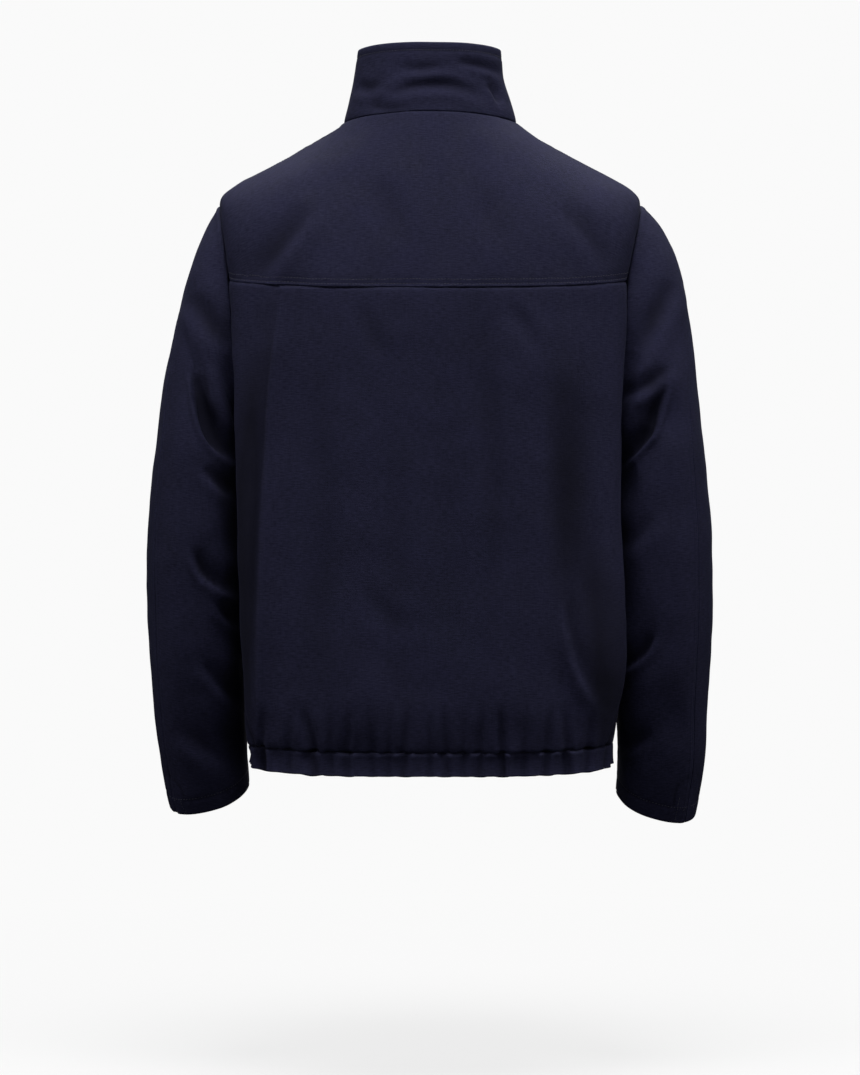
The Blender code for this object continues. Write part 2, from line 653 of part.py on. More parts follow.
def folded_tube(back, front, side):
    """Both halves of a sleeve with its folds, moved along normals that run smoothly over both seams."""
    points = np.concatenate([back[0], front[0][:, -2::-1]], axis=1)
    degrees = np.concatenate([back[1], front[1][:, -2::-1]], axis=1)
    wrapped = np.concatenate([points[:, -2:-1], points, points[:, 1:2]], axis=1)
    normals = grid_normals(wrapped)[:, 1:-1] * side.sign
    moved = points.copy()
    for j in range(1, points.shape[0]):
        fade = min(j / HEAD_FOLD_RINGS, 1.0)
        for i in range(points.shape[1]):
            moved[j, i] += normals[j, i] * sleeve_relief(degrees[j, i], points[j, i, 2], side) * fade
    moved[:, -1] = moved[:, 0]
    middle = back[0].shape[1] - 1
    return moved[:, : middle + 1], moved[:, middle:][:, ::-1]


# Collar

def collar_points(neck_edge):
    """The stand collar's points, from its top edge down to the neck seam's own points."""
    top_level = COLLAR_TOP
    back, front = quarter(top_level, True), quarter(top_level, False)
    rows = []
    for j in range(COLLAR_FACES + 1):
        share = j / COLLAR_FACES
        row = []
        for base, place in neck_edge:
            top = collar_top_point(place, back, front)
            point = top + (base - top) * share
            out = np.array([base[0], base[1] - MID_Y, 0.0])
            out /= np.linalg.norm(out)
            point = point - out * COLLAR_WAIST * math.sin(math.pi * share)
            distance = collar_distance(place, point)
            crease = sum(off_segment(distance, point[2], fold) for fold in COLLAR_CREASES)
            row.append(point + out * crease * math.sin(math.pi * share))
        rows.append(row)
    return np.array(rows)


def collar_distance(place, point):
    """Distance round the collar from its centre back; only the back has creases."""
    if COLLAR_FRONT_FROM < place % 4 < COLLAR_FRONT_TO:
        return FAR_ROUND
    return point[0]


def collar_top_point(place, back, front):
    sign = 1.0 if place <= CENTRE_FRONT else -1.0
    from_back = place if sign > 0 else 4 - place
    points, lengths = back if from_back <= 1 else front
    share = from_back if from_back <= 1 else 2 - from_back
    along = share * lengths[-1]
    if from_back > 1:
        along = max(along, ZIP_HALF_OPENING)
    point = np.array([np.interp(along, lengths, points[:, i]) for i in range(3)])
    point[2] += COLLAR_TILT * point[0] * sign / COLLAR_TOP.half_width * sign
    point[0] *= sign
    return point


# Walls: a grid of points becomes a closed wall of cloth

def grid_normals(points):
    """A unit normal at each point of a grid, pointing out of the cloth."""
    across = np.gradient(points, axis=1)
    down = np.gradient(points, axis=0)
    normals = np.cross(down, across)
    return normals / np.linalg.norm(normals, axis=2, keepdims=True)


SIDES_WHEN_FLIPPED = {"left": "right", "right": "left"}


class Panel:
    """A cloth panel: a grid of points on its outer face, and which of its four edges are sewn."""

    def __init__(self, name, points, sewn, thickness, flip=False):
        self.name = name
        self.points = points[:, ::-1] if flip else points
        self.sewn = {SIDES_WHEN_FLIPPED.get(edge, edge) for edge in sewn} if flip else set(sewn)
        self.thickness = thickness
        self.normals = grid_normals(self.points)


def share_seam_normals(panels):
    """Panels that meet at a seam take one normal there, so that their walls run side by side."""
    places = []
    for panel in panels:
        rows, columns = panel.points.shape[:2]
        for j in range(rows):
            for i in range(columns):
                if j in (0, rows - 1) or i in (0, columns - 1):
                    places.append((panel, j, i))
    tree = KDTree(len(places))
    for number, (panel, j, i) in enumerate(places):
        tree.insert(panel.points[j, i], number)
    tree.balance()
    shared = []
    for panel, j, i in places:
        near = tree.find_range(panel.points[j, i], SAME_PLACE)
        total = sum(places[number][0].normals[places[number][1:]] for _, number, _ in near)
        shared.append(total / np.linalg.norm(total))
    for (panel, j, i), normal in zip(places, shared):
        panel.normals[j, i] = normal


def follow_coarse_seam(casing):
    """The casing's extra points along its seam take normals between those of the points they lie between."""
    top = casing.normals[0]
    for i in range(len(top)):
        over = i % CASING_SPLIT
        if over:
            a, b = top[i - over], top[i - over + CASING_SPLIT]
            top[i] = a + (b - a) * over / CASING_SPLIT


def square_to_zip(panel, columns):
    """Turns the cut edges beside the zip straight back, so that both sides stay parallel."""
    for column in columns:
        panel.normals[:, column, 0] = 0.0
        panel.normals[:, column] /= np.linalg.norm(panel.normals[:, column], axis=1, keepdims=True)


def edge_shift(points, normals, free_edges):
    """How each edge point moves into its own panel, square to the edge, to leave half the seam's gap."""
    shift = np.zeros_like(points)
    rows, columns = points.shape[:2]
    edges = [
        ("top", [(0, i) for i in range(columns)], (1, 0)),
        ("bottom", [(rows - 1, i) for i in range(columns)], (-1, 0)),
        ("left", [(j, 0) for j in range(rows)], (0, 1)),
        ("right", [(j, columns - 1) for j in range(rows)], (0, -1)),
    ]
    for name, places, inward in edges:
        if name in free_edges:
            continue
        for k, (j, i) in enumerate(places):
            before = points[places[max(k - 1, 0)]]
            after = points[places[min(k + 1, len(places) - 1)]]
            towards = points[j + inward[0], i + inward[1]] - points[j, i]
            square = np.cross(normals[j, i], after - before)
            square /= np.linalg.norm(square)
            shift[j, i] += square * math.copysign(SEAM_GAP / 2, np.dot(square, towards))
    return shift


# Each edge's axis in a grid, its index there, and its neighbour's
EDGE_PLACES = {"top": (0, 0, 1), "bottom": (0, -1, -2), "left": (1, 0, 1), "right": (1, -1, -2)}


def line_of(array, index, axis):
    """One row or column of a grid."""
    return np.take(array, index % array.shape[axis], axis=axis)


def with_roll_lines(array, points, sewn):
    """Adds a line of points close to each sewn edge, where the cloth starts to roll into the seam."""
    for edge in sewn:
        axis, index, near = EDGE_PLACES[edge]
        edge_points = line_of(points, index, axis)
        inward = line_of(points, near, axis) - edge_points
        gap = np.linalg.norm(inward, axis=-1, keepdims=True)
        share = np.clip(SEAM_ROLL / np.maximum(gap, SMALLEST_GAP), 0.0, ROLL_SHARE)
        edge_line = line_of(array, index, axis)
        line = edge_line + (line_of(array, near, axis) - edge_line) * share
        place = 1 if index == 0 else array.shape[axis] - 1
        array = np.insert(array, place, line, axis=axis)
        points = np.insert(points, place, edge_points + inward * share, axis=axis)
    return array


def wall_mesh(panel):
    """The closed wall: an outer face, an inner face one cloth thickness inside it, and the cut edges."""
    order = [edge for edge in ("top", "bottom", "left", "right") if edge in panel.sewn]
    points = with_roll_lines(panel.points, panel.points, order)
    normals = with_roll_lines(panel.normals, panel.points, order)
    rows, columns = points.shape[:2]
    thickness = panel.thickness(rows, columns) if callable(panel.thickness) else panel.thickness
    thickness = np.broadcast_to(thickness, (rows, columns))[..., None]
    sink = np.zeros((rows, columns, 1))
    if "top" in panel.sewn:
        sink[0] = SEAM_SINK
    if "bottom" in panel.sewn:
        sink[-1] = SEAM_SINK
    if "left" in panel.sewn:
        sink[:, 0] = SEAM_SINK
    if "right" in panel.sewn:
        sink[:, -1] = SEAM_SINK
    free = {"top", "bottom", "left", "right"} - panel.sewn
    shift = edge_shift(points, normals, free)
    outer = points - normals * sink + shift
    inner = points - normals * np.maximum(thickness, sink + SEAM_WALL_SHARE * thickness) + shift
    vertices = [tuple(p) for p in outer.reshape(-1, 3)] + [tuple(p) for p in inner.reshape(-1, 3)]
    inside = rows * columns

    def at(j, i):
        return j * columns + i

    faces = []
    for j in range(rows - 1):
        for i in range(columns - 1):
            quad = (at(j, i), at(j + 1, i), at(j + 1, i + 1), at(j, i + 1))
            faces.append(quad)
            faces.append(tuple(inside + v for v in reversed(quad)))
    rim = (
        [at(0, i) for i in range(columns)]
        + [at(j, columns - 1) for j in range(1, rows)]
        + [at(rows - 1, i) for i in range(columns - 2, -1, -1)]
        + [at(j, 0) for j in range(rows - 2, 0, -1)]
    )
    for a, b in zip(rim, rim[1:] + rim[:1]):
        faces.append((a, b, inside + b, inside + a))
    return vertices, faces


SHARP_EDGE_DEG = 50


def add_object(name, vertices, faces, collection, finish):
    mesh = bpy.data.meshes.new(name)
    mesh.from_pydata(vertices, [], faces)
    mesh.update()
    mesh.shade_smooth()
    mesh.set_sharp_from_angle(angle=math.radians(SHARP_EDGE_DEG))
    made = bpy.data.objects.new(name, mesh)
    mesh.materials.append(finish)
    collection.objects.link(made)
    return made


def add_panel(panel, collection, finish):
    vertices, faces = wall_mesh(panel)
    return add_object(panel.name, vertices, faces, collection, finish)


ALL_EDGES = {"top", "bottom", "left", "right"}


def body_panels():
    """Every panel of the body, with the same points along each shared seam."""
    back = to_points(joined_halves(lower_back_half()))
    yoke = to_points(joined_halves(yoke_half()))
    front_left_grid = front_half()
    front_left = to_points(front_left_grid)
    front_right = to_points(mirrored(front_left_grid))
    panels = {
        "back_yoke": Panel("back_yoke", yoke, ALL_EDGES, BODY_CLOTH),
        "back_lower": Panel("back_lower", back, ALL_EDGES, BODY_CLOTH),
        "front_left": Panel("front_left", front_left, {"top", "bottom", "left"}, BODY_CLOTH, flip=True),
        "front_right": Panel("front_right", front_right, {"top", "bottom", "right"}, BODY_CLOTH, flip=True),
    }
    return panels, yoke, back, front_left, front_right


def neck_edge(yoke, front_left, front_right):
    """The neck seam's points with their places round the body, from the zip's left round to its right."""
    first, last = SHOULDER_FACES, SHOULDER_FACES + NECK_FACES
    front = list(front_left[0, first : last + 1])[::-1]
    front_places = list(front_half()[0, first : last + 1, 0])[::-1]
    yoke_left = list(yoke[0, first + 1 : last + 1])
    yoke_places = list(yoke_half()[0, first + 1 : last + 1, 0])
    left = list(zip(front + yoke_left, front_places + yoke_places))
    right_yoke = list(yoke[0, last + 1 : last + NECK_FACES + 1])
    right_front = list(front_right[0, :NECK_FACES])[::-1]
    right_places = [4 - place for place in yoke_places[-2::-1] + front_places[::-1]]
    return left + list(zip(right_yoke + right_front, right_places))


def sleeve_panels(yoke, back, front_left, front_right):
    panels = []
    for side in SLEEVE_SIDES:
        is_left = side.sign > 0
        column = 0 if is_left else -1
        back_edge = list(yoke[:, column]) + list(back[1 : LOWER_ARMHOLE_FACES + 1, column])
        front = front_left if is_left else front_right
        front_edge = list(front[: ARMHOLE_FACES + 1, column])
        halves = folded_tube(sleeve_half(side, True, back_edge), sleeve_half(side, False, front_edge), side)
        for is_back, points in zip((True, False), halves):
            name = f"sleeve_{'back' if is_back else 'front'}_{side.name}"
            flip = is_back != is_left
            panels.append(Panel(name, points, {"top", "left", "right"}, cuff_thickness, flip=flip))
    return panels


def cuff_thickness(rows, columns):
    """The cuff's hem is turned up, so its cloth is thicker over the last two rows."""
    thickness = np.full((rows, columns), BODY_CLOTH)
    thickness[-2:] = CUFF_CLOTH
    return thickness


# Zip

def rows_beside_zip(panel, is_left):
    """A panel's rows beside the zip: an edge point and its neighbour, with their normals and wall depth."""
    column, neighbour = (0, 1) if is_left else (-1, -2)
    sewn = [edge for edge in ("top", "bottom") if edge in panel.sewn]
    points = with_roll_lines(panel.points, panel.points, sewn)
    normals = with_roll_lines(panel.normals, panel.points, sewn)
    depths = np.full(len(points), panel.thickness)
    if "top" in sewn:
        depths[0] = SEAM_SINK + SEAM_WALL_SHARE * panel.thickness
    if "bottom" in sewn:
        depths[-1] = SEAM_SINK + SEAM_WALL_SHARE * panel.thickness
    return [
        (points[j, column], points[j, neighbour], normals[j, column], normals[j, neighbour], depths[j])
        for j in range(len(points))
    ]


def zip_path(collar, front, casing, is_left):
    """The rows beside the zip from the collar's top edge down to the hem, on one side of it."""
    rows = rows_beside_zip(collar, is_left)
    for panel in (front, casing):
        part = rows_beside_zip(panel, is_left)
        seam_depth = max(rows[-1][4], part[0][4])
        rows[-1] = rows[-1][:4] + (seam_depth,)
        rows += part[1:]
    return rows


def face_outward(made):
    """Turns every face of a closed body outward."""
    outward = bmesh.new()
    outward.from_mesh(made.data)
    bmesh.ops.recalc_face_normals(outward, faces=outward.faces)
    outward.to_mesh(made.data)
    outward.free()


def prism(name, sections, collection, finish):
    """A closed bar through four-cornered sections, each listed the same way round."""
    vertices = [tuple(p) for section in sections for p in section]
    faces = [(3, 2, 1, 0)]
    for k in range(len(sections) - 1):
        a, b = 4 * k, 4 * (k + 1)
        for c in range(4):
            d = (c + 1) % 4
            faces.append((a + c, a + d, b + d, b + c))
    end = 4 * (len(sections) - 1)
    faces.append((end, end + 1, end + 2, end + 3))
    made = add_object(name, vertices, faces, collection, finish)
    face_outward(made)
    return made


def on_wall(row, along, depth):
    """A point beside the zip at a distance from the cloth's edge, behind the cloth's outer face."""
    edge, neighbour, edge_normal, neighbour_normal, _ = row
    share = along / np.linalg.norm(neighbour - edge)
    start = edge - edge_normal * depth
    return start + (neighbour - neighbour_normal * depth - start) * share


def zip_centre(left_rows, right_rows):
    """The line down the middle of the zip: points on the cloth's surface, normals and the tape's depth."""
    line = []
    for left, right in zip(left_rows, right_rows):
        normal = left[2] + right[2]
        normal[0] = 0.0
        normal /= np.linalg.norm(normal)
        line.append(((left[0] + right[0]) / 2, normal, max(left[4], right[4]) + SEAM_GAP))
    return line


def add_zip_tape(name, rows, line, side, collection, finish):
    across = np.array([side, 0.0, 0.0])
    sections = []
    for row, (middle, normal, depth) in zip(rows, line):
        near, far = depth, depth + TAPE_THICKNESS
        edge = middle + across * SEAM_GAP
        reach = TAPE_WIDTH - ZIP_HALF_OPENING
        sections.append([
            edge - normal * near, on_wall(row, reach, near), on_wall(row, reach, far), edge - normal * far
        ])
    return prism(name, sections, collection, finish)


def add_zip_chain(line, collection, finish):
    across = np.array([1.0, 0.0, 0.0])
    top_point, top_normal, top_depth = line[0]
    below = line[1][0] - top_point
    start = SLIDER_TOP_DROP + SLIDER_LENGTH + SEAM_GAP
    share = start / np.linalg.norm(below)
    skipped = 0
    while share > 1:
        start -= np.linalg.norm(line[skipped + 1][0] - line[skipped][0])
        skipped += 1
        share = start / np.linalg.norm(line[skipped + 1][0] - line[skipped][0])
    first = tuple(a + (b - a) * share for a, b in zip(line[skipped], line[skipped + 1]))
    sections = []
    for point, normal, depth in [first] + line[skipped + 1:]:
        near, far = depth - SEAM_GAP - CHAIN_THICKNESS, depth - SEAM_GAP
        sections.append([
            point + side * across * CHAIN_HALF_WIDTH - normal * back
            for side, back in ((-1, near), (1, near), (1, far), (-1, far))
        ])
    return prism("zip_chain", sections, collection, finish)


def slider_frame(line):
    """Where the slider sits: its middle on the cloth's surface, the way up the zip and the way out."""
    top, bottom = line[0][0], line[2][0]
    up = (top - bottom) / np.linalg.norm(top - bottom)
    out = np.cross(np.array([1.0, 0.0, 0.0]), up)
    return top - up * (SLIDER_TOP_DROP + SLIDER_LENGTH / 2), up, out


def slab(name, frame, half_width, up_range, out_range, collection, finish):
    middle, up, out = frame
    across = np.array([1.0, 0.0, 0.0])
    sections = [
        [
            middle + across * side * half_width + up * along + out * high
            for along, high in ((up_range[0], out_range[0]), (up_range[1], out_range[0]),
                                (up_range[1], out_range[1]), (up_range[0], out_range[1]))
        ]
        for side in (-1, 1)
    ]
    return prism(name, sections, collection, finish)


def join_into(whole, others):
    for other in others:
        union = whole.modifiers.new("join", "BOOLEAN")
        union.operation = "UNION"
        union.solver = "EXACT"
        union.object = other
        other.hide_render = True
        other.hide_viewport = True


def add_slider(frame, collection, finish):
    plate_top = SLIDER_CLEARANCE + SLIDER_PLATE
    slot_top = plate_top + BRIDGE_SLOT
    half = SLIDER_LENGTH / 2
    leg = BRIDGE_BAR
    reach = BRIDGE_HALF_LENGTH
    sunk = plate_top - 0.5 * SLIDER_PLATE
    neck_top = SLIDER_CLEARANCE + 0.5 * SLIDER_PLATE
    bar_top = slot_top + 0.9 * leg
    bars = {
        "zip_slider": (SLIDER_HALF_WIDTH, (-half, half), (SLIDER_CLEARANCE, plate_top)),
        "slider_neck": (SLIDER_NECK_HALF_WIDTH, (-half + MM, half - MM), (-SLIDER_NECK_DEPTH, neck_top)),
        "slider_low_leg": (BRIDGE_HALF_WIDTH, (-reach, -reach + leg), (sunk, slot_top + leg)),
        "slider_high_leg": (BRIDGE_HALF_WIDTH, (reach - leg, reach), (sunk, slot_top + leg)),
        "slider_bar": (BRIDGE_HALF_WIDTH, (0.5 * leg - reach, reach - 0.5 * leg), (slot_top, bar_top)),
    }
    plate, neck, low_leg, high_leg, bar = (
        slab(name, frame, *sizes, collection, finish) for name, sizes in bars.items()
    )
    join_into(plate, [neck, low_leg, high_leg, bar])
    return plate


def pull_hinge(frame):
    middle, up, out = frame
    return middle + up * PULL_BAR_DROP + out * (SLIDER_CLEARANCE + SLIDER_PLATE + BRIDGE_SLOT / 2)


def add_pull(frame, collection, finish):
    """The pull tab hanging from the slider: a plate with an eye, whose end bar passes through the bridge."""
    _, up, out = frame
    hinge = pull_hinge(frame)
    across = np.array([1.0, 0.0, 0.0])
    top = PULL_BAR / 2
    eye_end = top - PULL_BAR - PULL_EYE_LENGTH
    bottom = top - PULL_LENGTH
    half = PULL_HALF_WIDTH
    outline = [
        (-half + PULL_CORNER, top),
        (-half, top - PULL_CORNER),
        (-half, bottom + PULL_END_CORNER),
        (-half + PULL_END_CORNER, bottom),
        (half - PULL_END_CORNER, bottom),
        (half, bottom + PULL_END_CORNER),
        (half, top - PULL_CORNER),
        (half - PULL_CORNER, top),
    ]
    eye_half = PULL_EYE_HALF_WIDTH
    eye_top = top - PULL_BAR
    eye = [
        (-eye_half, eye_top),
        (-eye_half, eye_top - EYE_STEP),
        (-eye_half, eye_end + PULL_CORNER),
        (-eye_half + PULL_CORNER, eye_end),
        (eye_half - PULL_CORNER, eye_end),
        (eye_half, eye_end + PULL_CORNER),
        (eye_half, eye_top - EYE_STEP),
        (eye_half, eye_top),
    ]
    count = len(outline)
    vertices = []
    for lift in (-PULL_THICKNESS / 2, PULL_THICKNESS / 2):
        vertices += [tuple(hinge + across * x + up * t + out * lift) for x, t in outline + eye]
    layer = 2 * count
    faces = []
    for k in range(count):
        n = (k + 1) % count
        faces.append((k, n, count + n, count + k))
        faces.append((layer + k, layer + count + k, layer + count + n, layer + n))
        faces.append((k, layer + k, layer + n, n))
        faces.append((count + k, count + n, layer + count + n, layer + count + k))
    made = add_object("zip_pull", vertices, faces, collection, finish)
    face_outward(made)
    return made


def build():
    for old in list(bpy.data.objects):
        bpy.data.objects.remove(old)
    collection = bpy.data.collections.new("jacket")
    bpy.context.scene.collection.children.link(collection)
    cloth = material("navy_cotton", NAVY, 0.85)
    tape_cloth = material("navy_zip_tape", TAPE_NAVY, 0.8)
    metal = material("dark_metal", GUNMETAL, 0.35, 1.0)
    named, yoke, back, front_left, front_right = body_panels()
    edge = neck_edge(yoke, front_left, front_right)
    collar = Panel("collar", collar_points(edge), {"bottom"}, COLLAR_CLOTH)
    casing = Panel("hem_casing", casing_grid(), {"top"}, CASING_CLOTH)
    panels = list(named.values()) + sleeve_panels(yoke, back, front_left, front_right) + [collar, casing]
    share_seam_normals(panels)
    follow_coarse_seam(casing)
    square_to_zip(collar, (0, -1))
    square_to_zip(casing, (0, -1))
    square_to_zip(named["front_left"], (0,))
    square_to_zip(named["front_right"], (-1,))
    for panel in panels:
        add_panel(panel, collection, cloth)
    left_rows = zip_path(collar, named["front_left"], casing, True)
    right_rows = zip_path(collar, named["front_right"], casing, False)
    line = zip_centre(left_rows, right_rows)
    add_zip_tape("zip_tape_left", left_rows, line, 1.0, collection, tape_cloth)
    add_zip_tape("zip_tape_right", right_rows, line, -1.0, collection, tape_cloth)
    add_zip_chain(line, collection, metal)
    frame = slider_frame(line)
    add_slider(frame, collection, metal)
    add_pull(frame, collection, metal)


build()
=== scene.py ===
"""A short jacket in dark navy washed cotton twill, with a stand collar, a back yoke and a gathered hem.

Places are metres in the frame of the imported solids: x runs to the wearer's left, y to the back and z up, from the
back of the neck. Creases are drawn in millimetres, as they are seen from one side of the jacket.
"""

import math

import bpy
import numpy as np
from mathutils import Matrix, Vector, noise
from mathutils.bvhtree import BVHTree


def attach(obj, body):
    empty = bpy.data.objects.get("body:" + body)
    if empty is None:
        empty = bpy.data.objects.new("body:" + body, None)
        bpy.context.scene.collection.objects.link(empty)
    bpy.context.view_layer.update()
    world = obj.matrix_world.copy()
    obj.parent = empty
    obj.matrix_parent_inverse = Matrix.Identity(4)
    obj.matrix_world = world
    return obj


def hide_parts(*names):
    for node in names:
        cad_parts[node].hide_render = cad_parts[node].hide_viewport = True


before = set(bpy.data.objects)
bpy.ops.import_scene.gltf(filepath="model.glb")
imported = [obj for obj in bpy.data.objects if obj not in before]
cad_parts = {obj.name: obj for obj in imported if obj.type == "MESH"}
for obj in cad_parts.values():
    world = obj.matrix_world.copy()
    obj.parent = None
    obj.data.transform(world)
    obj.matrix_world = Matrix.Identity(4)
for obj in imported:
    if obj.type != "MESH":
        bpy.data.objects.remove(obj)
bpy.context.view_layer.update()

# The photograph's camera
# It stands level, three metres behind the jacket and at the height of the lower back, so every crease
# below can be drawn as it shows in that view.
CAMERA_AWAY = 3.0
CAMERA_HEIGHT = -0.423
PHOTO_HEIGHT_PIXELS = 1075
METRES_PER_PIXEL = 0.00102
SENSOR_MM = 36.0

bpy.ops.object.camera_add(location=(0, CAMERA_AWAY, CAMERA_HEIGHT), rotation=(math.pi / 2, 0, math.pi))
camera = bpy.context.object
camera.data.sensor_width = SENSOR_MM
camera.data.lens = SENSOR_MM * CAMERA_AWAY / (PHOTO_HEIGHT_PIXELS * METRES_PER_PIXEL)
bpy.context.scene.camera = camera

# The back yoke and the lower back
# Two panels of one heavy cotton twill. The yoke is laid over the lower back and held down by two rows of
# stitches, and the washed cloth puckers along them.
CLOTH_THICKNESS = 0.0016
SAME_POINT = 0.00002
RAY_START = 0.0001
THICKEST_WALL = 0.012
OPPOSITE = -0.6
SAME_SIDE = 0.35
SEAM_REACH = 0.003
BODY_AXIS = (0.0, 0.0)
MILLIMETRE = 0.001
CURVE_STEPS = 6
END_TAPER = 0.7
LINE_STEP = 4
SEWN_UNDER = 0.0018
SEWN_ALONG = 0.0017
ZIP_CLEAR = 0.005
ZIP_FADE = 0.018
FOLD_UNDER = 0.0034
HEM_WIDTH = 0.018
STITCH_SIZE = np.array([0.0025, 0.0006, 0.0005])
STITCH_PITCH = 0.0031
STITCH_PROUD = 0.0001
LIP_SHARE = 0.32
DEEP_MM = 7.0
SEAM_DEEP_MM = 1.1
SEAM_CALM = 1.6
TURNED_AWAY = 0.02
FULLY_SEEN = 0.40

VIEWS = {
    "back": ((0, 2), Vector((0, 1, 0))),
    "front": ((0, 2), Vector((0, -1, 0))),
    "left": ((1, 2), Vector((1, 0, 0))),
    "right": ((1, 2), Vector((-1, 0, 0))),
}


def alone(thing):
    """Leaves one object selected and active."""
    bpy.ops.object.select_all(action="DESELECT")
    thing.select_set(True)
    bpy.context.view_layer.objects.active = thing


def wall_groups(mesh, outline):
    """Parts a panel's long walls from its narrow edges, and each wall from the other, as lists of faces."""
    faces = mesh.polygons
    wall = set()
    for face in faces:
        start = face.center - face.normal * RAY_START
        hit, normal, index, distance = outline.ray_cast(start, -face.normal, THICKEST_WALL)
        if hit is not None and normal.dot(face.normal) < OPPOSITE:
            wall.add(face.index)
    sharers = {}
    for face in faces:
        for key in face.edge_keys:
            sharers.setdefault(key, []).append(face.index)
    groups = []
    while wall:
        group = [wall.pop()]
        for member in group:
            for key in faces[member].edge_keys:
                for other in sharers[key]:
                    if other in wall and faces[other].normal.dot(faces[member].normal) > SAME_SIDE:
                        wall.discard(other)
                        group.append(other)
        groups.append(group)
    return sorted(groups, key=len, reverse=True)[:2]


def outer_wall(node, name, axis):
    """Copies a CAD panel and keeps only its outer wall, as one open cloth."""
    cloth = bpy.data.objects.new(name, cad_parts[node].data.copy())
    bpy.context.collection.objects.link(cloth)
    alone(cloth)
    bpy.ops.object.mode_set(mode="EDIT")
    bpy.ops.mesh.select_all(action="SELECT")
    bpy.ops.mesh.remove_doubles(threshold=SAME_POINT)
    bpy.ops.mesh.select_all(action="DESELECT")
    bpy.ops.object.mode_set(mode="OBJECT")
    mesh = cloth.data
    outline = BVHTree.FromPolygons([v.co for v in mesh.vertices], [tuple(f.vertices) for f in mesh.polygons])
    middle = Vector((axis[0], axis[1], 0))
    outwards = np.zeros(len(mesh.vertices))
    for group in wall_groups(mesh, outline):
        faces = [mesh.polygons[i] for i in group]
        turn = sum(f.area * f.normal.dot((f.center - middle) * Vector((1, 1, 0))) for f in faces)
        for face in faces:
            for corner in face.vertices:
                outwards[corner] += math.copysign(face.area, turn)
    for face in mesh.polygons:
        face.select = bool(min(outwards[corner] for corner in face.vertices) <= 0)
    bpy.ops.object.mode_set(mode="EDIT")
    bpy.ops.mesh.delete(type="FACE")
    bpy.ops.mesh.select_all(action="SELECT")
    bpy.ops.mesh.tris_convert_to_quads()
    bpy.ops.object.mode_set(mode="OBJECT")
    return cloth


def lay_flat(cloth):
    """Unwraps a cloth to its cut, in metres with the grain upright, and gives the cut's width, length and area."""
    alone(cloth)
    for layer in list(cloth.data.uv_layers):
        cloth.data.uv_layers.remove(layer)
    cloth.data.uv_layers.new(name="cut")
    bpy.ops.object.mode_set(mode="EDIT")
    bpy.ops.mesh.select_all(action="SELECT")
    bpy.ops.uv.unwrap(method="ANGLE_BASED", margin=0)
    bpy.ops.object.mode_set(mode="OBJECT")
    mesh = cloth.data
    layer = mesh.uv_layers["cut"]
    flat = np.empty(len(mesh.loops) * 2)
    layer.uv.foreach_get("vector", flat)
    flat = flat.reshape(-1, 2)
    cut_area = 0.0
    worn_area = 0.0
    for face in mesh.polygons:
        corners = flat[list(face.loop_indices)]
        ahead = np.roll(corners, -1, axis=0)
        cut_area += abs((corners[:, 0] * ahead[:, 1] - corners[:, 1] * ahead[:, 0]).sum() / 2)
        worn_area += face.area
    flat = flat * math.sqrt(worn_area / cut_area)
    heights = np.array([mesh.vertices[loop.vertex_index].co.z for loop in mesh.loops])
    slope = np.linalg.lstsq(flat - flat.mean(axis=0), heights - heights.mean(), rcond=None)[0]
    up = slope / np.linalg.norm(slope)
    flat = np.stack([flat @ np.array([up[1], -up[0]]), flat @ up], axis=1)
    flat = flat - flat.min(axis=0)
    layer.uv.foreach_set("vector", flat.ravel())
    width, length = flat.max(axis=0)
    print(f"cut of {cloth.name}: {width:.3f} by {length:.3f} m, {worn_area:.4f} square metres")
    return width, length, worn_area


def finer(cloth, levels):
    """Divides a cloth's faces smoothly, each level into four."""
    alone(cloth)
    divide = cloth.modifiers.new("finer", "SUBSURF")
    divide.levels = levels
    divide.render_levels = levels
    divide.boundary_smooth = "PRESERVE_CORNERS"
    bpy.ops.object.modifier_apply(modifier=divide.name)


def places(cloth):
    """Each point of a cloth, in metres."""
    numbers = np.empty(len(cloth.data.vertices) * 3)
    cloth.data.vertices.foreach_get("co", numbers)
    return numbers.reshape(-1, 3)


def facings(cloth):
    """The direction in which the cloth faces at each point."""
    numbers = np.empty(len(cloth.data.vertices) * 3)
    cloth.data.vertex_normals.foreach_get("vector", numbers)
    return numbers.reshape(-1, 3)


def lift(cloth, heights):
    """Moves each point of a cloth out along its own facing, by metres."""
    moved = places(cloth) + facings(cloth) * heights[:, None]
    cloth.data.vertices.foreach_set("co", moved.ravel())
    cloth.data.update()


def smooth_line(points):
    """A smooth curve through drawn points."""
    points = np.array(points, dtype=float)
    padded = np.concatenate([[2 * points[0] - points[1]], points, [2 * points[-1] - points[-2]]])
    curve = []
    for i in range(len(points) - 1):
        a, b, c, d = padded[i : i + 4]
        for step in range(CURVE_STEPS):
            t = step / CURVE_STEPS
            bend = 2 * b + (c - a) * t + (2 * a - 5 * b + 4 * c - d) * t**2 + (3 * b - a - 3 * c + d) * t**3
            curve.append(bend / 2)
    curve.append(points[-1])
    return np.array(curve)


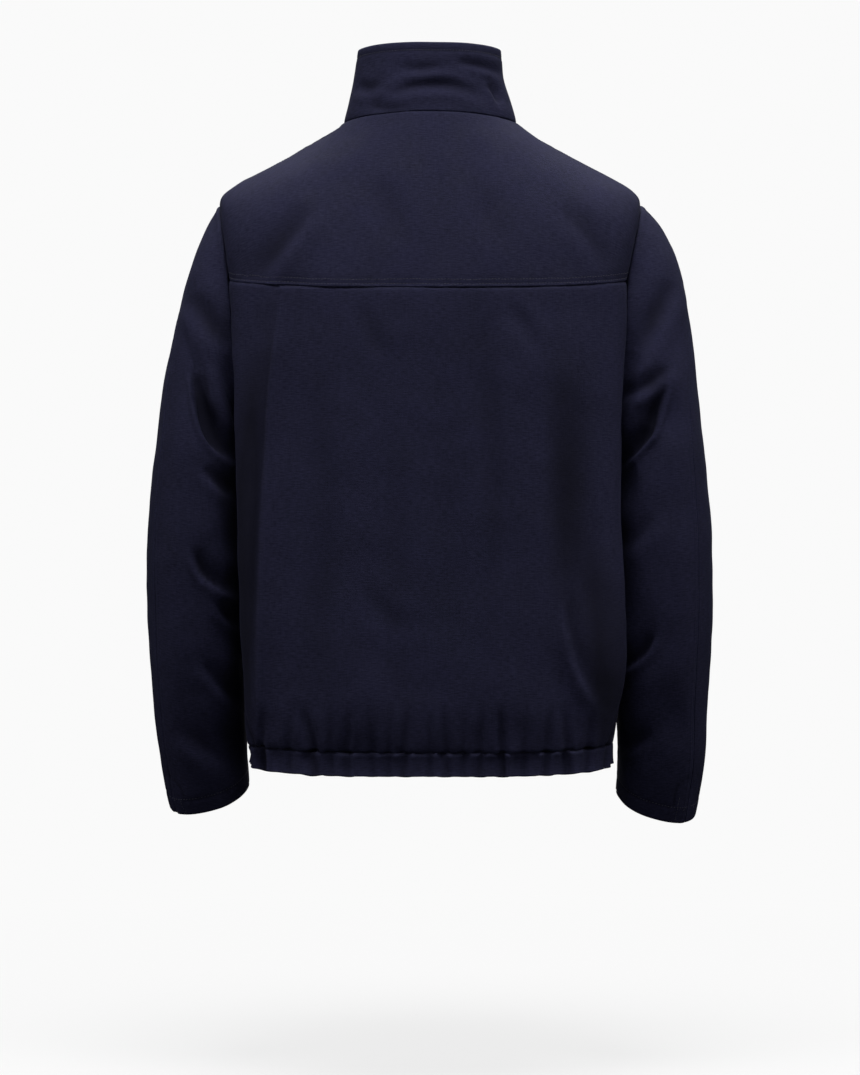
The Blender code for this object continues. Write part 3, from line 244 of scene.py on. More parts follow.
def beside(points, line):
    """How far each point lies to the side of a line, in its own units, and how far along it, from 0 to 1."""
    steps = line[1:] - line[:-1]
    lengths = np.linalg.norm(steps, axis=1)
    begun = np.concatenate([[0], np.cumsum(lengths)])
    nearest = np.full(len(points), np.inf)
    side = np.zeros(len(points))
    along = np.zeros(len(points))
    for start, step, length, before in zip(line[:-1], steps, lengths, begun):
        share = np.clip((points - start) @ step / length**2, 0, 1)
        gap = points - start - share[:, None] * step
        away = np.linalg.norm(gap, axis=1)
        closer = away < nearest
        nearest[closer] = away[closer]
        turn = np.where(step[0] * gap[:, 1] - step[1] * gap[:, 0] < 0, -1.0, 1.0)
        side[closer] = (away * turn)[closer]
        along[closer] = ((before + share * length) / begun[-1])[closer]
    return side, along


def seen(cloth, view):
    """How squarely each point of a cloth faces one side of the jacket, from 0 to 1."""
    square = facings(cloth) @ np.array(VIEWS[view][1])
    share = np.clip((square - TURNED_AWAY) / (FULLY_SEEN - TURNED_AWAY), 0, 1)
    return share * share * (3 - 2 * share)


def off_zip(points):
    """How far each point is from the zip, from 0 beside it to 1, so that the cloth lies flat along its teeth."""
    share = np.clip((np.abs(points[:, 0]) - ZIP_CLEAR) / ZIP_FADE, 0, 1)
    return np.where(points[:, 1] < 0, share, 1.0)


def add_painted_shade(cloth, amounts):
    """Adds painted shade to a cloth's points, from 0 to 1: the material darkens the colour by it, as shade in folds and
    seams.
    """
    mark = cloth.data.attributes.get("hollow") or cloth.data.attributes.new("hollow", "FLOAT", "POINT")
    held = np.zeros(len(amounts), dtype=np.float32)
    mark.data.foreach_get("value", held)
    mark.data.foreach_set("value", (held + amounts).astype(np.float32))


def lay_creases(cloth, view, creases, pressed=1.0):
    """Presses creases into a cloth and paints shade into the colour of their troughs. Each has its depth, its two
    widths and its points, all in millimetres. With pressed at 0 the shade is painted and nothing is pressed.
    """
    flat = places(cloth)[:, VIEWS[view][0]] / MILLIMETRE
    shown = seen(cloth, view) * off_zip(places(cloth))
    heights = np.zeros(len(flat))
    for depth, left_width, right_width, points in creases:
        side, along = beside(flat, smooth_line(points))
        width = np.where(side > 0, left_width, right_width)
        trough = np.exp(-((side / width) ** 2))
        lips = LIP_SHARE * np.exp(-(((np.abs(side) - 2.0 * width) / width) ** 2))
        taper = np.sin(np.pi * np.clip(along, 0.02, 0.98)) ** END_TAPER
        heights -= depth * (trough - lips) * taper
    # Painted shade: the deeper a crease's trough, the darker its colour is painted.
    add_painted_shade(cloth, -heights * shown / DEEP_MM)
    if pressed:
        lift(cloth, heights * shown * pressed * MILLIMETRE)


def rumple(cloth, size, height, seed):
    """Gives a washed cloth its small unevenness, of one size and height in metres."""
    drift = Vector((seed, -seed, seed / 2))
    heights = [noise.noise(Vector(p) / size + drift) * height for p in places(cloth)]
    lift(cloth, np.array(heights))


def cut_edge(cloth):
    """A cloth's own edge, as its points' numbers in order round it."""
    used = {}
    for face in cloth.data.polygons:
        for key in face.edge_keys:
            used[key] = used.get(key, 0) + 1
    after = {}
    for a, b in (key for key, times in used.items() if times == 1):
        after.setdefault(a, []).append(b)
        after.setdefault(b, []).append(a)
    start = min(after)
    loop = [start]
    previous = None
    while True:
        ways = [other for other in after[loop[-1]] if other != previous]
        previous = loop[-1]
        if ways[0] == start or len(loop) > len(after):
            return loop
        loop.append(ways[0])


def edge_run(cloth, wanted):
    """The longest stretch of a cloth's edge whose points are wanted, in order."""
    points = [cloth.data.vertices[i].co.copy() for i in cut_edge(cloth)]
    flags = [wanted(p) for p in points]
    if all(flags):
        return np.array(points + points[:1])
    turn = flags.index(False)
    points = points[turn:] + points[:turn]
    flags = flags[turn:] + flags[:turn]
    runs = [[]]
    for point, flag in zip(points, flags):
        if flag:
            runs[-1].append(point)
        elif runs[-1]:
            runs.append([])
    return np.array(max(runs, key=len))


def seam_line(cloth, neighbour):
    """The stretch of a cloth's edge that is sewn to another panel, or to one and the next."""
    panels = []
    for name in neighbour.split(" and "):
        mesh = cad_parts[name].data
        panels.append(BVHTree.FromPolygons([v.co for v in mesh.vertices], [tuple(f.vertices) for f in mesh.polygons]))
    return edge_run(cloth, lambda p: any(panel.find_nearest(p, SEAM_REACH)[0] is not None for panel in panels))


def under(cloth, line, bands):
    """Presses bands along a seam and paints shade into the colour where they sink: each has its distance from it, its
    half width and its height, in millimetres.
    """
    points = places(cloth)
    away = np.abs(beside(points, line[::LINE_STEP])[0]) / MILLIMETRE
    heights = np.zeros(len(points))
    for distance, width, height in bands:
        heights += height * np.exp(-(((away - distance) / width) ** 2))
    # Painted shade in the sunken bands along the seam.
    add_painted_shade(cloth, np.clip(-heights / SEAM_DEEP_MM, 0, None))
    lift(cloth, heights * MILLIMETRE)


def pucker(cloth, line, height, reach, every, lean=0.0, seed=0.0):
    """Draws a cloth up into small uneven puckers along a seam, as washing does. All sizes are in millimetres."""
    points = places(cloth)
    side, along = beside(points, line[::LINE_STEP])
    away = np.abs(side) / MILLIMETRE
    length = np.linalg.norm(np.diff(line, axis=0), axis=1).sum() / MILLIMETRE
    turns = (along * length + lean * away) / every
    near = away < 4 * reach
    heights = np.zeros(len(points))
    for i in np.flatnonzero(near):
        wave = noise.noise((turns[i], seed, away[i] / (6 * reach)))
        heights[i] = wave * math.exp(-away[i] / reach) * (1 - math.exp(-((away[i] / SEAM_CALM) ** 2)))
    lift(cloth, heights * off_zip(points) * height * MILLIMETRE)


def turn_edges(cloth, node, hem_width):
    """Turns a cloth's sewn edges under their neighbours and folds its free edges back inside, as a maker does."""
    others = [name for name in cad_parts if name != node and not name.startswith("zip_pull")]
    panels = []
    for name in others:
        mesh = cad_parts[name].data
        panels.append(BVHTree.FromPolygons([v.co for v in mesh.vertices], [tuple(f.vertices) for f in mesh.polygons]))
    edge = cut_edge(cloth)
    points = [cloth.data.vertices[i].co.copy() for i in edge]
    sewn = [any(panel.find_nearest(p, SEAM_REACH)[0] is not None for panel in panels) for p in points]
    inner = {}
    for face in cloth.data.polygons:
        for corner in face.vertices:
            inner.setdefault(corner, []).append(face.center)
    ways = []
    for place, i in enumerate(edge):
        ahead = points[(place + 1) % len(points)] - points[place - 1]
        normal = cloth.data.vertices[i].normal.copy()
        out = ahead.cross(normal).normalized()
        if out.dot(points[place] - sum(inner[i], Vector()) / len(inner[i])) < 0:
            out = -out
        if sewn[place - 1] != sewn[(place + 1) % len(sewn)]:
            out = Vector((0, 0, 0))
        ways.append((i, out, normal, sewn[place]))
    for step in ("under", "along"):
        alone(cloth)
        bpy.ops.object.mode_set(mode="EDIT")
        bpy.ops.mesh.select_mode(type="EDGE")
        bpy.ops.mesh.select_all(action="DESELECT")
        bpy.ops.mesh.select_non_manifold(extend=False, use_wire=False, use_multi_face=False, use_non_contiguous=False)
        bpy.ops.mesh.extrude_region()
        bpy.ops.object.mode_set(mode="OBJECT")
        followers = {}
        for link in cloth.data.edges:
            a, b = link.vertices
            if cloth.data.vertices[a].select != cloth.data.vertices[b].select:
                kept, made = (b, a) if cloth.data.vertices[a].select else (a, b)
                followers[kept] = made
        turned = []
        for i, out, normal, is_sewn in ways:
            made = followers[i]
            if step == "under":
                move = -normal * (SEWN_UNDER if is_sewn else FOLD_UNDER)
            else:
                move = out * SEWN_ALONG if is_sewn else -out * hem_width
            cloth.data.vertices[made].co += move
            turned.append((made, out, normal, is_sewn))
        ways = turned
        cloth.data.update()


def stitch_row(cloth, name, rows):
    """Rows of lockstitch as one joined mesh. Each row is a line and the distances from it at which it is sewn."""
    mesh = cloth.data
    surface = BVHTree.FromPolygons([v.co for v in mesh.vertices], [tuple(f.vertices) for f in mesh.polygons])
    alone(cloth)
    bpy.ops.object.select_all(action="DESELECT")
    bpy.ops.mesh.primitive_ico_sphere_add(subdivisions=1, radius=0.5)
    grain = bpy.context.object
    shape = np.array([v.co for v in grain.data.vertices]) * STITCH_SIZE
    faces = [tuple(f.vertices) for f in grain.data.polygons]
    bpy.data.objects.remove(grain)
    points = []
    corners = []
    for line, insets in rows:
        lengths = np.concatenate([[0], np.cumsum(np.linalg.norm(np.diff(line, axis=0), axis=1))])
        marks = np.arange(STITCH_PITCH, lengths[-1] - STITCH_PITCH / 2, STITCH_PITCH)
        run = np.stack([np.interp(marks, lengths, line[:, k]) for k in range(3)], axis=1)
        for inset in insets:
            for i in range(1, len(run) - 1):
                on, normal, index, distance = surface.find_nearest(Vector(run[i]))
                ahead = Vector(run[i + 1] - run[i - 1]).normalized()
                across = ahead.cross(normal).normalized()
                spots = [surface.find_nearest(Vector(run[i]) + across * inset * way) for way in (1, -1)]
                spot = min(spots, key=lambda found: found[3])
                facing = spot[1]
                side = facing.cross(ahead).normalized()
                ahead = side.cross(facing)
                turn = np.array([ahead, side, facing])
                middle = np.array(spot[0] + facing * STITCH_PROUD)
                begun = len(points) * len(shape)
                points.append(shape @ turn + middle)
                corners.extend(tuple(begun + corner for corner in face) for face in faces)
    made = bpy.data.meshes.new(name)
    made.from_pydata(np.concatenate(points), [], corners)
    made.update()
    stitches = bpy.data.objects.new(name, made)
    bpy.context.collection.objects.link(stitches)
    made.materials.append(thread_material())
    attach(stitches, "jacket")


def give_thickness(cloth, thickness):
    """Gives a creased cloth its inner side and its cut edges."""
    alone(cloth)
    wall = cloth.modifiers.new("thickness", "SOLIDIFY")
    wall.thickness = thickness
    wall.offset = -1
    bpy.ops.object.modifier_apply(modifier=wall.name)
    bpy.ops.object.shade_smooth()


def linear(colour):
    """Turns an sRGB hex colour into the linear one that a shader takes."""
    parts = [int(colour[i : i + 2], 16) / 255 for i in (1, 3, 5)]
    return tuple(p / 12.92 if p < 0.04045 else ((p + 0.055) / 1.055) ** 2.4 for p in parts) + (1.0,)


def add_node(tree, kind, settings, links=None):
    """Adds a node. Settings are its properties and its sockets' values, and links are its sockets' sources."""
    made = tree.nodes.new(kind)
    for key, value in settings.items():
        if isinstance(key, int) or key in made.inputs:
            made.inputs[key].default_value = value
        else:
            setattr(made, key, value)
    for socket, (source, outlet) in (links or {}).items():
        tree.links.new(source.outputs[outlet], made.inputs[socket])
    return made


def bare_material(name):
    """A new material with an empty tree and its output."""
    made = bpy.data.materials.new(name)
    made.use_nodes = True
    made.node_tree.nodes.clear()
    return made, made.node_tree


# Washed navy cotton twill: matt, with a faint bloom from its raised fibres, thick and thin yarns that show as short
# streaks, soft uneven fading, and paler edges where the washing rubbed it. Shade is also painted into its colour: the
# troughs of creases and seams, and the broad hollows beside the sleeves, are darkened towards a deeper navy. Twill ribs
# are about 0.5 mm apart and too fine to show, so they are drawn at 1.2 mm.
# The next colour is painted shade: the cloth's colour is darkened towards it in creases, seams and hollows.
TWILL_PAINTED_SHADE = "#10101D"
TWILL_DARK = "#17182A"
TWILL_MIDDLE = "#2B2B44"
TWILL_PALE = "#424463"
WEFT_STREAK = (150.0, 800.0, 1.0)
WARP_SHARE = 0.3
# How far the painted shade darkens the colour at most.
PAINTED_SHADE_SHARE = 0.85
WARP_STREAK = (620.0, 70.0, 1.0)
CLOUD_SCALE = 26.0
PATCH_SCALE = 7.0
CLOUD_SHARE = 0.24
RIB_SCALE = 262.0
RIB_ANGLE = math.radians(27)
NAP_SCALE = 1400.0


def twill_material():
    """The jacket's own cloth."""
    known = bpy.data.materials.get("washed_navy_cotton_twill")
    if known:
        return known
    made, tree = bare_material("washed_navy_cotton_twill")
    place = add_node(tree, "ShaderNodeTexCoord", {})
    weft_place = add_node(tree, "ShaderNodeMapping", {"Scale": WEFT_STREAK}, {"Vector": (place, "UV")})
    weft = add_node(
        tree, "ShaderNodeTexNoise", {"Scale": 1.0, "Detail": 3.0, "Roughness": 0.65}, {"Vector": (weft_place, "Vector")}
    )
    warp_place = add_node(tree, "ShaderNodeMapping", {"Scale": WARP_STREAK}, {"Vector": (place, "UV")})
    warp = add_node(
        tree, "ShaderNodeTexNoise", {"Scale": 1.0, "Detail": 3.0, "Roughness": 0.65}, {"Vector": (warp_place, "Vector")}
    )
    cloud = add_node(
        tree, "ShaderNodeTexNoise", {"Scale": CLOUD_SCALE, "Detail": 5.0, "Roughness": 0.6}, {"Vector": (place, "Object")}
    )
    patch = add_node(
        tree, "ShaderNodeTexNoise", {"Scale": PATCH_SCALE, "Detail": 2.0}, {"Vector": (place, "Object")}
    )
    yarns = add_node(
        tree, "ShaderNodeMath", {"operation": "MULTIPLY_ADD", 1: WARP_SHARE}, {0: (warp, "Fac"), 2: (weft, "Fac")}
    )
    clouds = add_node(
        tree, "ShaderNodeMath", {"operation": "ADD"}, {0: (cloud, "Fac"), 1: (patch, "Fac")}
    )
    both = add_node(
        tree,
        "ShaderNodeMath",
        {"operation": "MULTIPLY_ADD", 1: CLOUD_SHARE},
        {0: (clouds, "Value"), 2: (yarns, "Value")},
    )
    tone = add_node(
        tree, "ShaderNodeMapRange", {"From Min": 0.62, "From Max": 1.12, "To Min": 0.0, "To Max": 1.0}, {"Value": (both, "Value")}
    )
    body = add_node(
        tree,
        "ShaderNodeMix",
        {"data_type": "RGBA", 6: linear(TWILL_DARK), 7: linear(TWILL_MIDDLE)},
        {0: (tone, "Result")},
    )
    rubbed = add_node(tree, "ShaderNodeAttribute", {"attribute_name": "rubbed"})
    rub = add_node(
        tree, "ShaderNodeMath", {"operation": "MULTIPLY"}, {0: (rubbed, "Fac"), 1: (yarns, "Value")}
    )
    faded = add_node(
        tree,
        "ShaderNodeMix",
        {"data_type": "RGBA", 7: linear(TWILL_PALE)},
        {0: (rub, "Value"), 6: (body, "Result")},
    )
    # Painted shade: the colour is darkened by each point's painted shade, in creases, seams and the hollows beside the
    # sleeves.
    hollow = add_node(tree, "ShaderNodeAttribute", {"attribute_name": "hollow"})
    depth = add_node(
        tree, "ShaderNodeMapRange", {"To Max": PAINTED_SHADE_SHARE}, {"Value": (hollow, "Fac")}
    )
    colour = add_node(
        tree,
        "ShaderNodeMix",
        {"data_type": "RGBA", 7: linear(TWILL_PAINTED_SHADE)},
        {0: (depth, "Result"), 6: (faded, "Result")},
    )
    rib_place = add_node(
        tree, "ShaderNodeMapping", {"Rotation": (0, 0, RIB_ANGLE)}, {"Vector": (place, "UV")}
    )
    rib = add_node(
        tree,
        "ShaderNodeTexWave",
        {"Scale": RIB_SCALE, "Distortion": 0.6, "Detail": 1.0, "Detail Scale": 3.0},
        {"Vector": (rib_place, "Vector")},
    )
    height = add_node(
        tree, "ShaderNodeMath", {"operation": "MULTIPLY_ADD", 1: 0.35}, {0: (rib, "Fac"), 2: (yarns, "Value")}
    )
    bump = add_node(
        tree, "ShaderNodeBump", {"Strength": 0.55, "Distance": 0.00035}, {"Height": (height, "Value")}
    )
    rough = add_node(
        tree, "ShaderNodeMapRange", {"From Min": 0.3, "From Max": 0.7, "To Min": 0.78, "To Max": 0.93}, {"Value": (cloud, "Fac")}
    )
    shader = add_node(
        tree,
        "ShaderNodeBsdfPrincipled",
        {
            "Specular IOR Level": 0.12,
            "Sheen Weight": 0.025,
            "Sheen Roughness": 0.45,
            "Sheen Tint": linear("#8A90C0"),
        },
        {"Base Color": (colour, "Result"), "Roughness": (rough, "Result"), "Normal": (bump, "Normal")},
    )
    add_node(tree, "ShaderNodeOutputMaterial", {}, {"Surface": (shader, "BSDF")})
    return made


# Cotton thread dyed with the cloth: a shade paler than it, with the soft shine of twisted yarn.
def thread_material():
    """The stitches' thread."""
    known = bpy.data.materials.get("navy_cotton_thread")
    if known:
        return known
    made, tree = bare_material("navy_cotton_thread")
    place = add_node(tree, "ShaderNodeTexCoord", {})
    ply = add_node(tree, "ShaderNodeTexNoise", {"Scale": NAP_SCALE, "Detail": 2.0}, {"Vector": (place, "Object")})
    colour = add_node(
        tree,
        "ShaderNodeMix",
        {"data_type": "RGBA", 6: linear("#1D1E30"), 7: linear("#2C2D44")},
        {0: (ply, "Fac")},
    )
    shader = add_node(
        tree, "ShaderNodeBsdfPrincipled", {"Roughness": 0.62, "Sheen Weight": 0.15}, {"Base Color": (colour, "Result")}
    )
    add_node(tree, "ShaderNodeOutputMaterial", {}, {"Surface": (shader, "BSDF")})
    return made


def rub_edges(cloth, lines, reach, share):
    """Marks where washing has rubbed a cloth paler: within a reach of its seams and hems, in millimetres."""
    points = places(cloth)
    worn = np.zeros(len(points))
    for line in lines:
        away = np.abs(beside(points, line[::LINE_STEP])[0]) / MILLIMETRE
        worn = np.maximum(worn, np.exp(-((away / reach) ** 2)))
    mark = cloth.data.attributes.new("rubbed", "FLOAT", "POINT")
    mark.data.foreach_set("value", (worn * share).astype(np.float32))


# What each kind of seam does to the cloth beside it: bands of distance, half width and height in millimetres,
# then the puckers' height, reach and spacing, and how far in its rows of stitches lie.
LAPPED = {
    "bands": [(1.2, 1.0, 0.4), (3.4, 0.8, -0.3), (8.6, 1.0, -0.25)], "pucker": (0.9, 4, 7), "rows": (0.0034, 0.0086)
}
TUCKED = {"bands": [(0.0, 1.5, -0.6)], "pucker": (0.8, 4, 8), "rows": ()}
PLAIN = {"bands": [(0.0, 1.2, -0.3)], "pucker": (0.5, 4, 9), "rows": ()}
FELLED = {"bands": [(0.0, 1.1, -0.7), (2.4, 0.9, 0.5), (5.4, 1.1, 0.4)], "pucker": (0.9, 4, 8), "rows": ()}
ROPED = {"bands": [(0.0, 1.5, -0.8), (4.5, 2.2, 0.6)], "pucker": (1.9, 5, 7), "rows": ()}
GATHERED = {"bands": [(0.0, 1.6, -0.8)], "pucker": (2.6, 11, 9), "rows": ()}


def sew(
    cloth, node, creases, seams, free_rows=(), seed=0.0, thickness=CLOTH_THICKNESS, dark=None,
    hem=HEM_WIDTH,
):
    """Creases, puckers, stitches and thickens one cloth, paints shade into its creases and seams, and sets it in its
    panel's place.
    """
    for view, drawn in creases.items():
        lay_creases(cloth, view, drawn)
    # Strokes of painted shade only, darkening the colour with nothing pressed.
    for view, drawn in (dark or {}).items():
        lay_creases(cloth, view, drawn, pressed=0.0)
    lines = {other: seam_line(cloth, other) for other in seams}
    for number, (other, kind) in enumerate(seams.items()):
        under(cloth, lines[other], kind["bands"])
        height, reach, every = kind["pucker"]
        pucker(cloth, lines[other], height, reach, every, seed=seed + number)
    rumple(cloth, 0.060, 0.0012, seed)
    rumple(cloth, 0.022, 0.0005, seed + 3)
    free_lines = [(edge_run(cloth, wanted), insets) for wanted, insets in free_rows]
    for line, insets in free_lines:
        for inset in insets:
            under(cloth, line, [(inset / MILLIMETRE, 1.7, -0.6)])
            pucker(cloth, line, 0.3, 9, 9, seed=seed + 7)
    rub_edges(cloth, [*lines.values(), *(line for line, insets in free_lines)], 3.0, 0.22)
    rows = [(seam_line(cloth, other), kind["rows"]) for other, kind in seams.items() if kind["rows"]]
    rows += [(edge_run(cloth, wanted), insets) for wanted, insets in free_rows]
    if rows:
        stitch_row(cloth, cloth.name.replace("cloth", "stitches"), rows)
    turn_edges(cloth, node, hem)
    give_thickness(cloth, thickness)
    cloth.data.materials.clear()
    cloth.data.materials.append(twill_material())
    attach(cloth, "jacket")
    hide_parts(node)


def cloth_of(node, axis, levels):
    """One panel's outer cloth, laid flat for its weave and then divided, with the size of its cut."""
    cloth = outer_wall(node, node + "_cloth", axis)
    cut = lay_flat(cloth)
    finer(cloth, levels)
    return cloth, cut


BACK_CREASES = {
    "back": [
        (7.0, 18, 3, [(150, -184), (158, -239), (163, -298), (167, -367), (170, -446), (173, -524), (174, -622)]),
        (-1.5, 3, 9, [(141, -200), (147, -250), (152, -308), (157, -387), (161, -485), (164, -610)]),
        (2.4, 16, 12, [(-55, -190), (-58, -269), (-65, -367), (-60, -465), (-56, -573)]),
        (3.4, 18, 26, [(-133, -210), (-129, -288), (-131, -387), (-137, -485), (-150, -560)]),
        (4.0, 5, 16, [(-136, -478), (-141, -522), (-151, -556), (-169, -586)]),
        (-0.8, 9, 6, [(-130, -508), (-137, -548), (-155, -588)]),
        (1.8, 18, 14, [(99, -220), (107, -308), (99, -406), (107, -505), (111, -583)]),
        (1.6, 14, 18, [(38, -308), (30, -406), (34, -524), (28, -603)]),
        (2.0, 9, 7, [(-76, -196), (-92, -214), (-104, -240)]),
        (1.6, 10, 8, [(66, -194), (58, -222), (44, -250)]),
        (1.8, 20, 16, [(-20, -330), (-26, -440), (-18, -560)]),
        (1.4, 12, 9, [(70, -470), (40, -500), (14, -512)]),
    ]
}
# Painted shade only, with nothing pressed: broad dark strips down the back beside the sleeves. Each has its strength,
# its two widths and its points, in millimetres.
BACK_PAINTED_SHADE = {
    "back": [
        (7.5, 28, 8, [(176, -240), (178, -330), (182, -420), (184, -520), (186, -640)]),
        (7.0, 12, 34, [(-160, -430), (-166, -500), (-172, -580), (-176, -660)]),
        (3.2, 20, 24, [(-140, -250), (-138, -380), (-142, -500)]),
    ]
}
# Where the drawn-in hem folds: sideways place, lean and depth of each pucker, as seen from behind.
HEM_PUCKERS = [
    (165, 0, 3.0), (138, 3, 1.8), (115, -9, 4.2), (98, 2, 1.6), (81, 3, 3.0), (57, -3, 2.0), (40, 2, 1.4),
    (25, 4, 2.8), (0, 0, 2.0), (-16, -3, 2.6), (-33, 2, 1.6), (-49, 3, 3.0), (-71, -2, 4.6), (-92, 2, 1.8),
    (-115, 4, 3.2), (-135, -3, 3.6), (-156, 3, 2.8),
]
PUCKER_WIDTH = 3.4


def puckers(top, bottom, pressed, skipped=0):
    """The hem's puckers between two heights, as creases for the back and, with a gap at the zip, the front."""
    drawn = {"back": [], "front": [], "left": [], "right": []}
    for x, lean, depth in HEM_PUCKERS:
        wide = PUCKER_WIDTH * (1 + abs(lean) / 12)
        line = [(x - lean, top), (x, (top + bottom) / 2), (x + lean, bottom)]
        drawn["back"].append((depth * pressed, wide, wide * 0.8, line))
        if abs(x) > skipped:
            drawn["front"].append((depth * pressed, wide, wide * 0.9, [(-x - 5, z) for x, z in line]))
        if abs(x) < 90:
            drawn["left"].append((depth * pressed, wide, wide * 0.8, [(x + 4, z) for x, z in line]))
            drawn["right"].append((depth * pressed, wide * 0.9, wide, [(x - 3, z) for x, z in line]))
    return drawn


def together(first, second):
    """Two sets of creases as one."""
    return {view: [*first.get(view, []), *second.get(view, [])] for view in {**first, **second}}


PANEL_PUCKERS = puckers(-590, -664, 0.8, skipped=20)
CASING_PUCKERS = puckers(-606, -690, 1.0, skipped=20)
YOKE_CREASES = {
    "back": [
        (5.0, 16, 9, [(118, -95), (138, -122), (162, -152), (176, -176)]),
        (3.0, 10, 14, [(-127, -92), (-157, -124), (-180, -160)]),
        (1.6, 16, 12, [(60, -60), (40, -95), (26, -140)]),
        (1.4, 14, 16, [(-40, -70), (-62, -110), (-84, -150)]),
    ]
}
back_lower, back_lower_cut = cloth_of("back_lower", BODY_AXIS, 3)
back_yoke, back_yoke_cut = cloth_of("back_yoke", BODY_AXIS, 3)
sew(
    back_lower, "back_lower", together(BACK_CREASES, PANEL_PUCKERS),
    {
        "back_yoke": TUCKED, "hem_casing": GATHERED, "front_left": PLAIN, "front_right": PLAIN,
        "sleeve_back_left": TUCKED, "sleeve_back_right": TUCKED,
    },
    seed=2.0, dark=BACK_PAINTED_SHADE,
)
sew(
    back_yoke, "back_yoke", YOKE_CREASES,
    {
        "back_lower": LAPPED, "collar": TUCKED, "front_left": LAPPED, "front_right": LAPPED,
        "sleeve_back_left": TUCKED, "sleeve_back_right": TUCKED,
    },
    seed=4.0,
)

# The two fronts
# A left and a right panel of the same twill, each sewn to its half of the zip.
FRONT_CREASES = {
    "front": [
        (4.0, 10, 14, [(178, -120), (160, -200), (140, -290), (120, -380)]),
        (3.0, 14, 12, [(60, -300), (68, -400), (62, -500), (70, -600)]),
        (3.0, 12, 16, [(120, -420), (112, -500), (120, -610)]),
        (2.5, 12, 10, [(30, -60), (60, -100), (110, -130)]),
    ]
}


def mirrored(creases):
    """The same creases for the jacket's other side."""
    return {
        view: [(depth, right, left, [(-x, z) for x, z in points]) for depth, left, right, points in drawn]
        for view, drawn in creases.items()
    }


for side, creases in (("left", FRONT_CREASES), ("right", mirrored(FRONT_CREASES))):
    front, front_cut = cloth_of("front_" + side, BODY_AXIS, 3)
    sew(
        front, "front_" + side, together(creases, PANEL_PUCKERS),
        {
            "zip_tape_" + side: LAPPED, "back_yoke": PLAIN, "back_lower": PLAIN, "hem_casing": GATHERED,
            "sleeve_front_" + side: TUCKED, "collar": TUCKED,
        },
        seed=6.0,
    )

# The two-piece sleeves
# Each sleeve is a back and a front panel, set into the armhole and hanging from it, with a plain turned hem.
SLEEVE_AXIS_X = 0.232
CUFF_HEIGHT = -0.68
LEFT_SLEEVE_CREASES = {
    "back": [
        (5.0, 9, 12, [(243, -180), (225, -202), (202, -234)]),
        (9.0, 3, 14, [(236, -258), (231, -290), (220, -325), (198, -345)]),
        (5.0, 5, 9, [(227, -355), (215, -363), (197, -380)]),
        (8.0, 4, 12, [(235, -434), (227, -456), (212, -470), (196, -477)]),
        (5.0, 5, 8, [(213, -485), (204, -500), (192, -512)]),
        (5.0, 6, 10, [(228, -548), (214, -565), (192, -592)]),
        (3.5, 10, 16, [(261, -612), (233, -630), (198, -654)]),
        (2.0, 8, 8, [(214, -612), (205, -622), (192, -632)]),
    ]
}
RIGHT_SLEEVE_CREASES = {
    "back": [
        (5.0, 12, 9, [(-244, -163), (-230, -194), (-206, -240)]),
        (4.5, 7, 6, [(-238, -252), (-220, -268), (-194, -284)]),
        (9.0, 14, 3, [(-236, -268), (-228, -295), (-218, -321), (-192, -349)]),
        (7.0, 10, 4, [(-224, -519), (-212, -540), (-190, -556)]),
        (4.0, 10, 7, [(-226, -620), (-208, -628), (-183, -640)]),
        (3.0, 12, 8, [(-222, -400), (-208, -420), (-190, -436)]),
    ]
}
# Painted shade only, with nothing pressed: dark strips down the sleeves where they hang beside the body.
SLEEVE_PAINTED_SHADE = {
    "left": {"back": [(7.0, 10, 22, [(214, -300), (200, -400), (196, -500), (198, -600), (196, -690)])]},
    "right": {"back": [(5.0, 26, 10, [(-190, -330), (-186, -450), (-188, -560), (-184, -700)])]},
}
for side, sign, creases in (("left", 1, LEFT_SLEEVE_CREASES), ("right", -1, RIGHT_SLEEVE_CREASES)):
    for half, other_half in (("back", "front"), ("front", "back")):
        node = f"sleeve_{half}_{side}"
        sleeve, sleeve_cut = cloth_of(node, (SLEEVE_AXIS_X * sign, 0), 3)
        beside_yoke = "back_lower" if half == "back" else "front_" + side
        seams = {f"sleeve_{other_half}_{side}": FELLED, f"back_yoke and {beside_yoke}": ROPED}
        sew(
            sleeve, node, creases, seams,
            free_rows=[(lambda p: p.z < CUFF_HEIGHT, (0.018,))], seed=9.0 + 3 * sign, dark=SLEEVE_PAINTED_SHADE[side],
        )

# The stand collar
# A doubled band of the twill, stiffened inside and turned at its top edge.
COLLAR_THICKNESS = 0.0028
COLLAR_TOP_FROM = 0.013
TURNED_EDGE = 0.003
COLLAR_CREASES = {
    "back": [
        (4.2, 6, 5, [(40, 20), (22, 28), (0, 31), (-24, 30), (-50, 22)]),
        (3.6, 3, 5, [(-58, 34), (-65, 26), (-70, 14)]),
        (3.0, 4, 5, [(-26, 54), (-50, 52), (-72, 48)]),
        (2.6, 6, 6, [(74, 36), (62, 30), (50, 36)]),
        (2.2, 6, 6, [(64, 12), (40, 6), (20, 9)]),
        (1.8, 5, 5, [(30, 50), (10, 46), (-14, 50)]),
    ]
}
collar, collar_cut = cloth_of("collar", BODY_AXIS, 3)
sew(
    collar, "collar", COLLAR_CREASES,
    {"back_yoke": PLAIN, "front_left": PLAIN, "front_right": PLAIN},
    seed=15.0, thickness=COLLAR_THICKNESS,
    free_rows=[(lambda p: p.z > COLLAR_TOP_FROM, (0.008,))], hem=TURNED_EDGE,
)

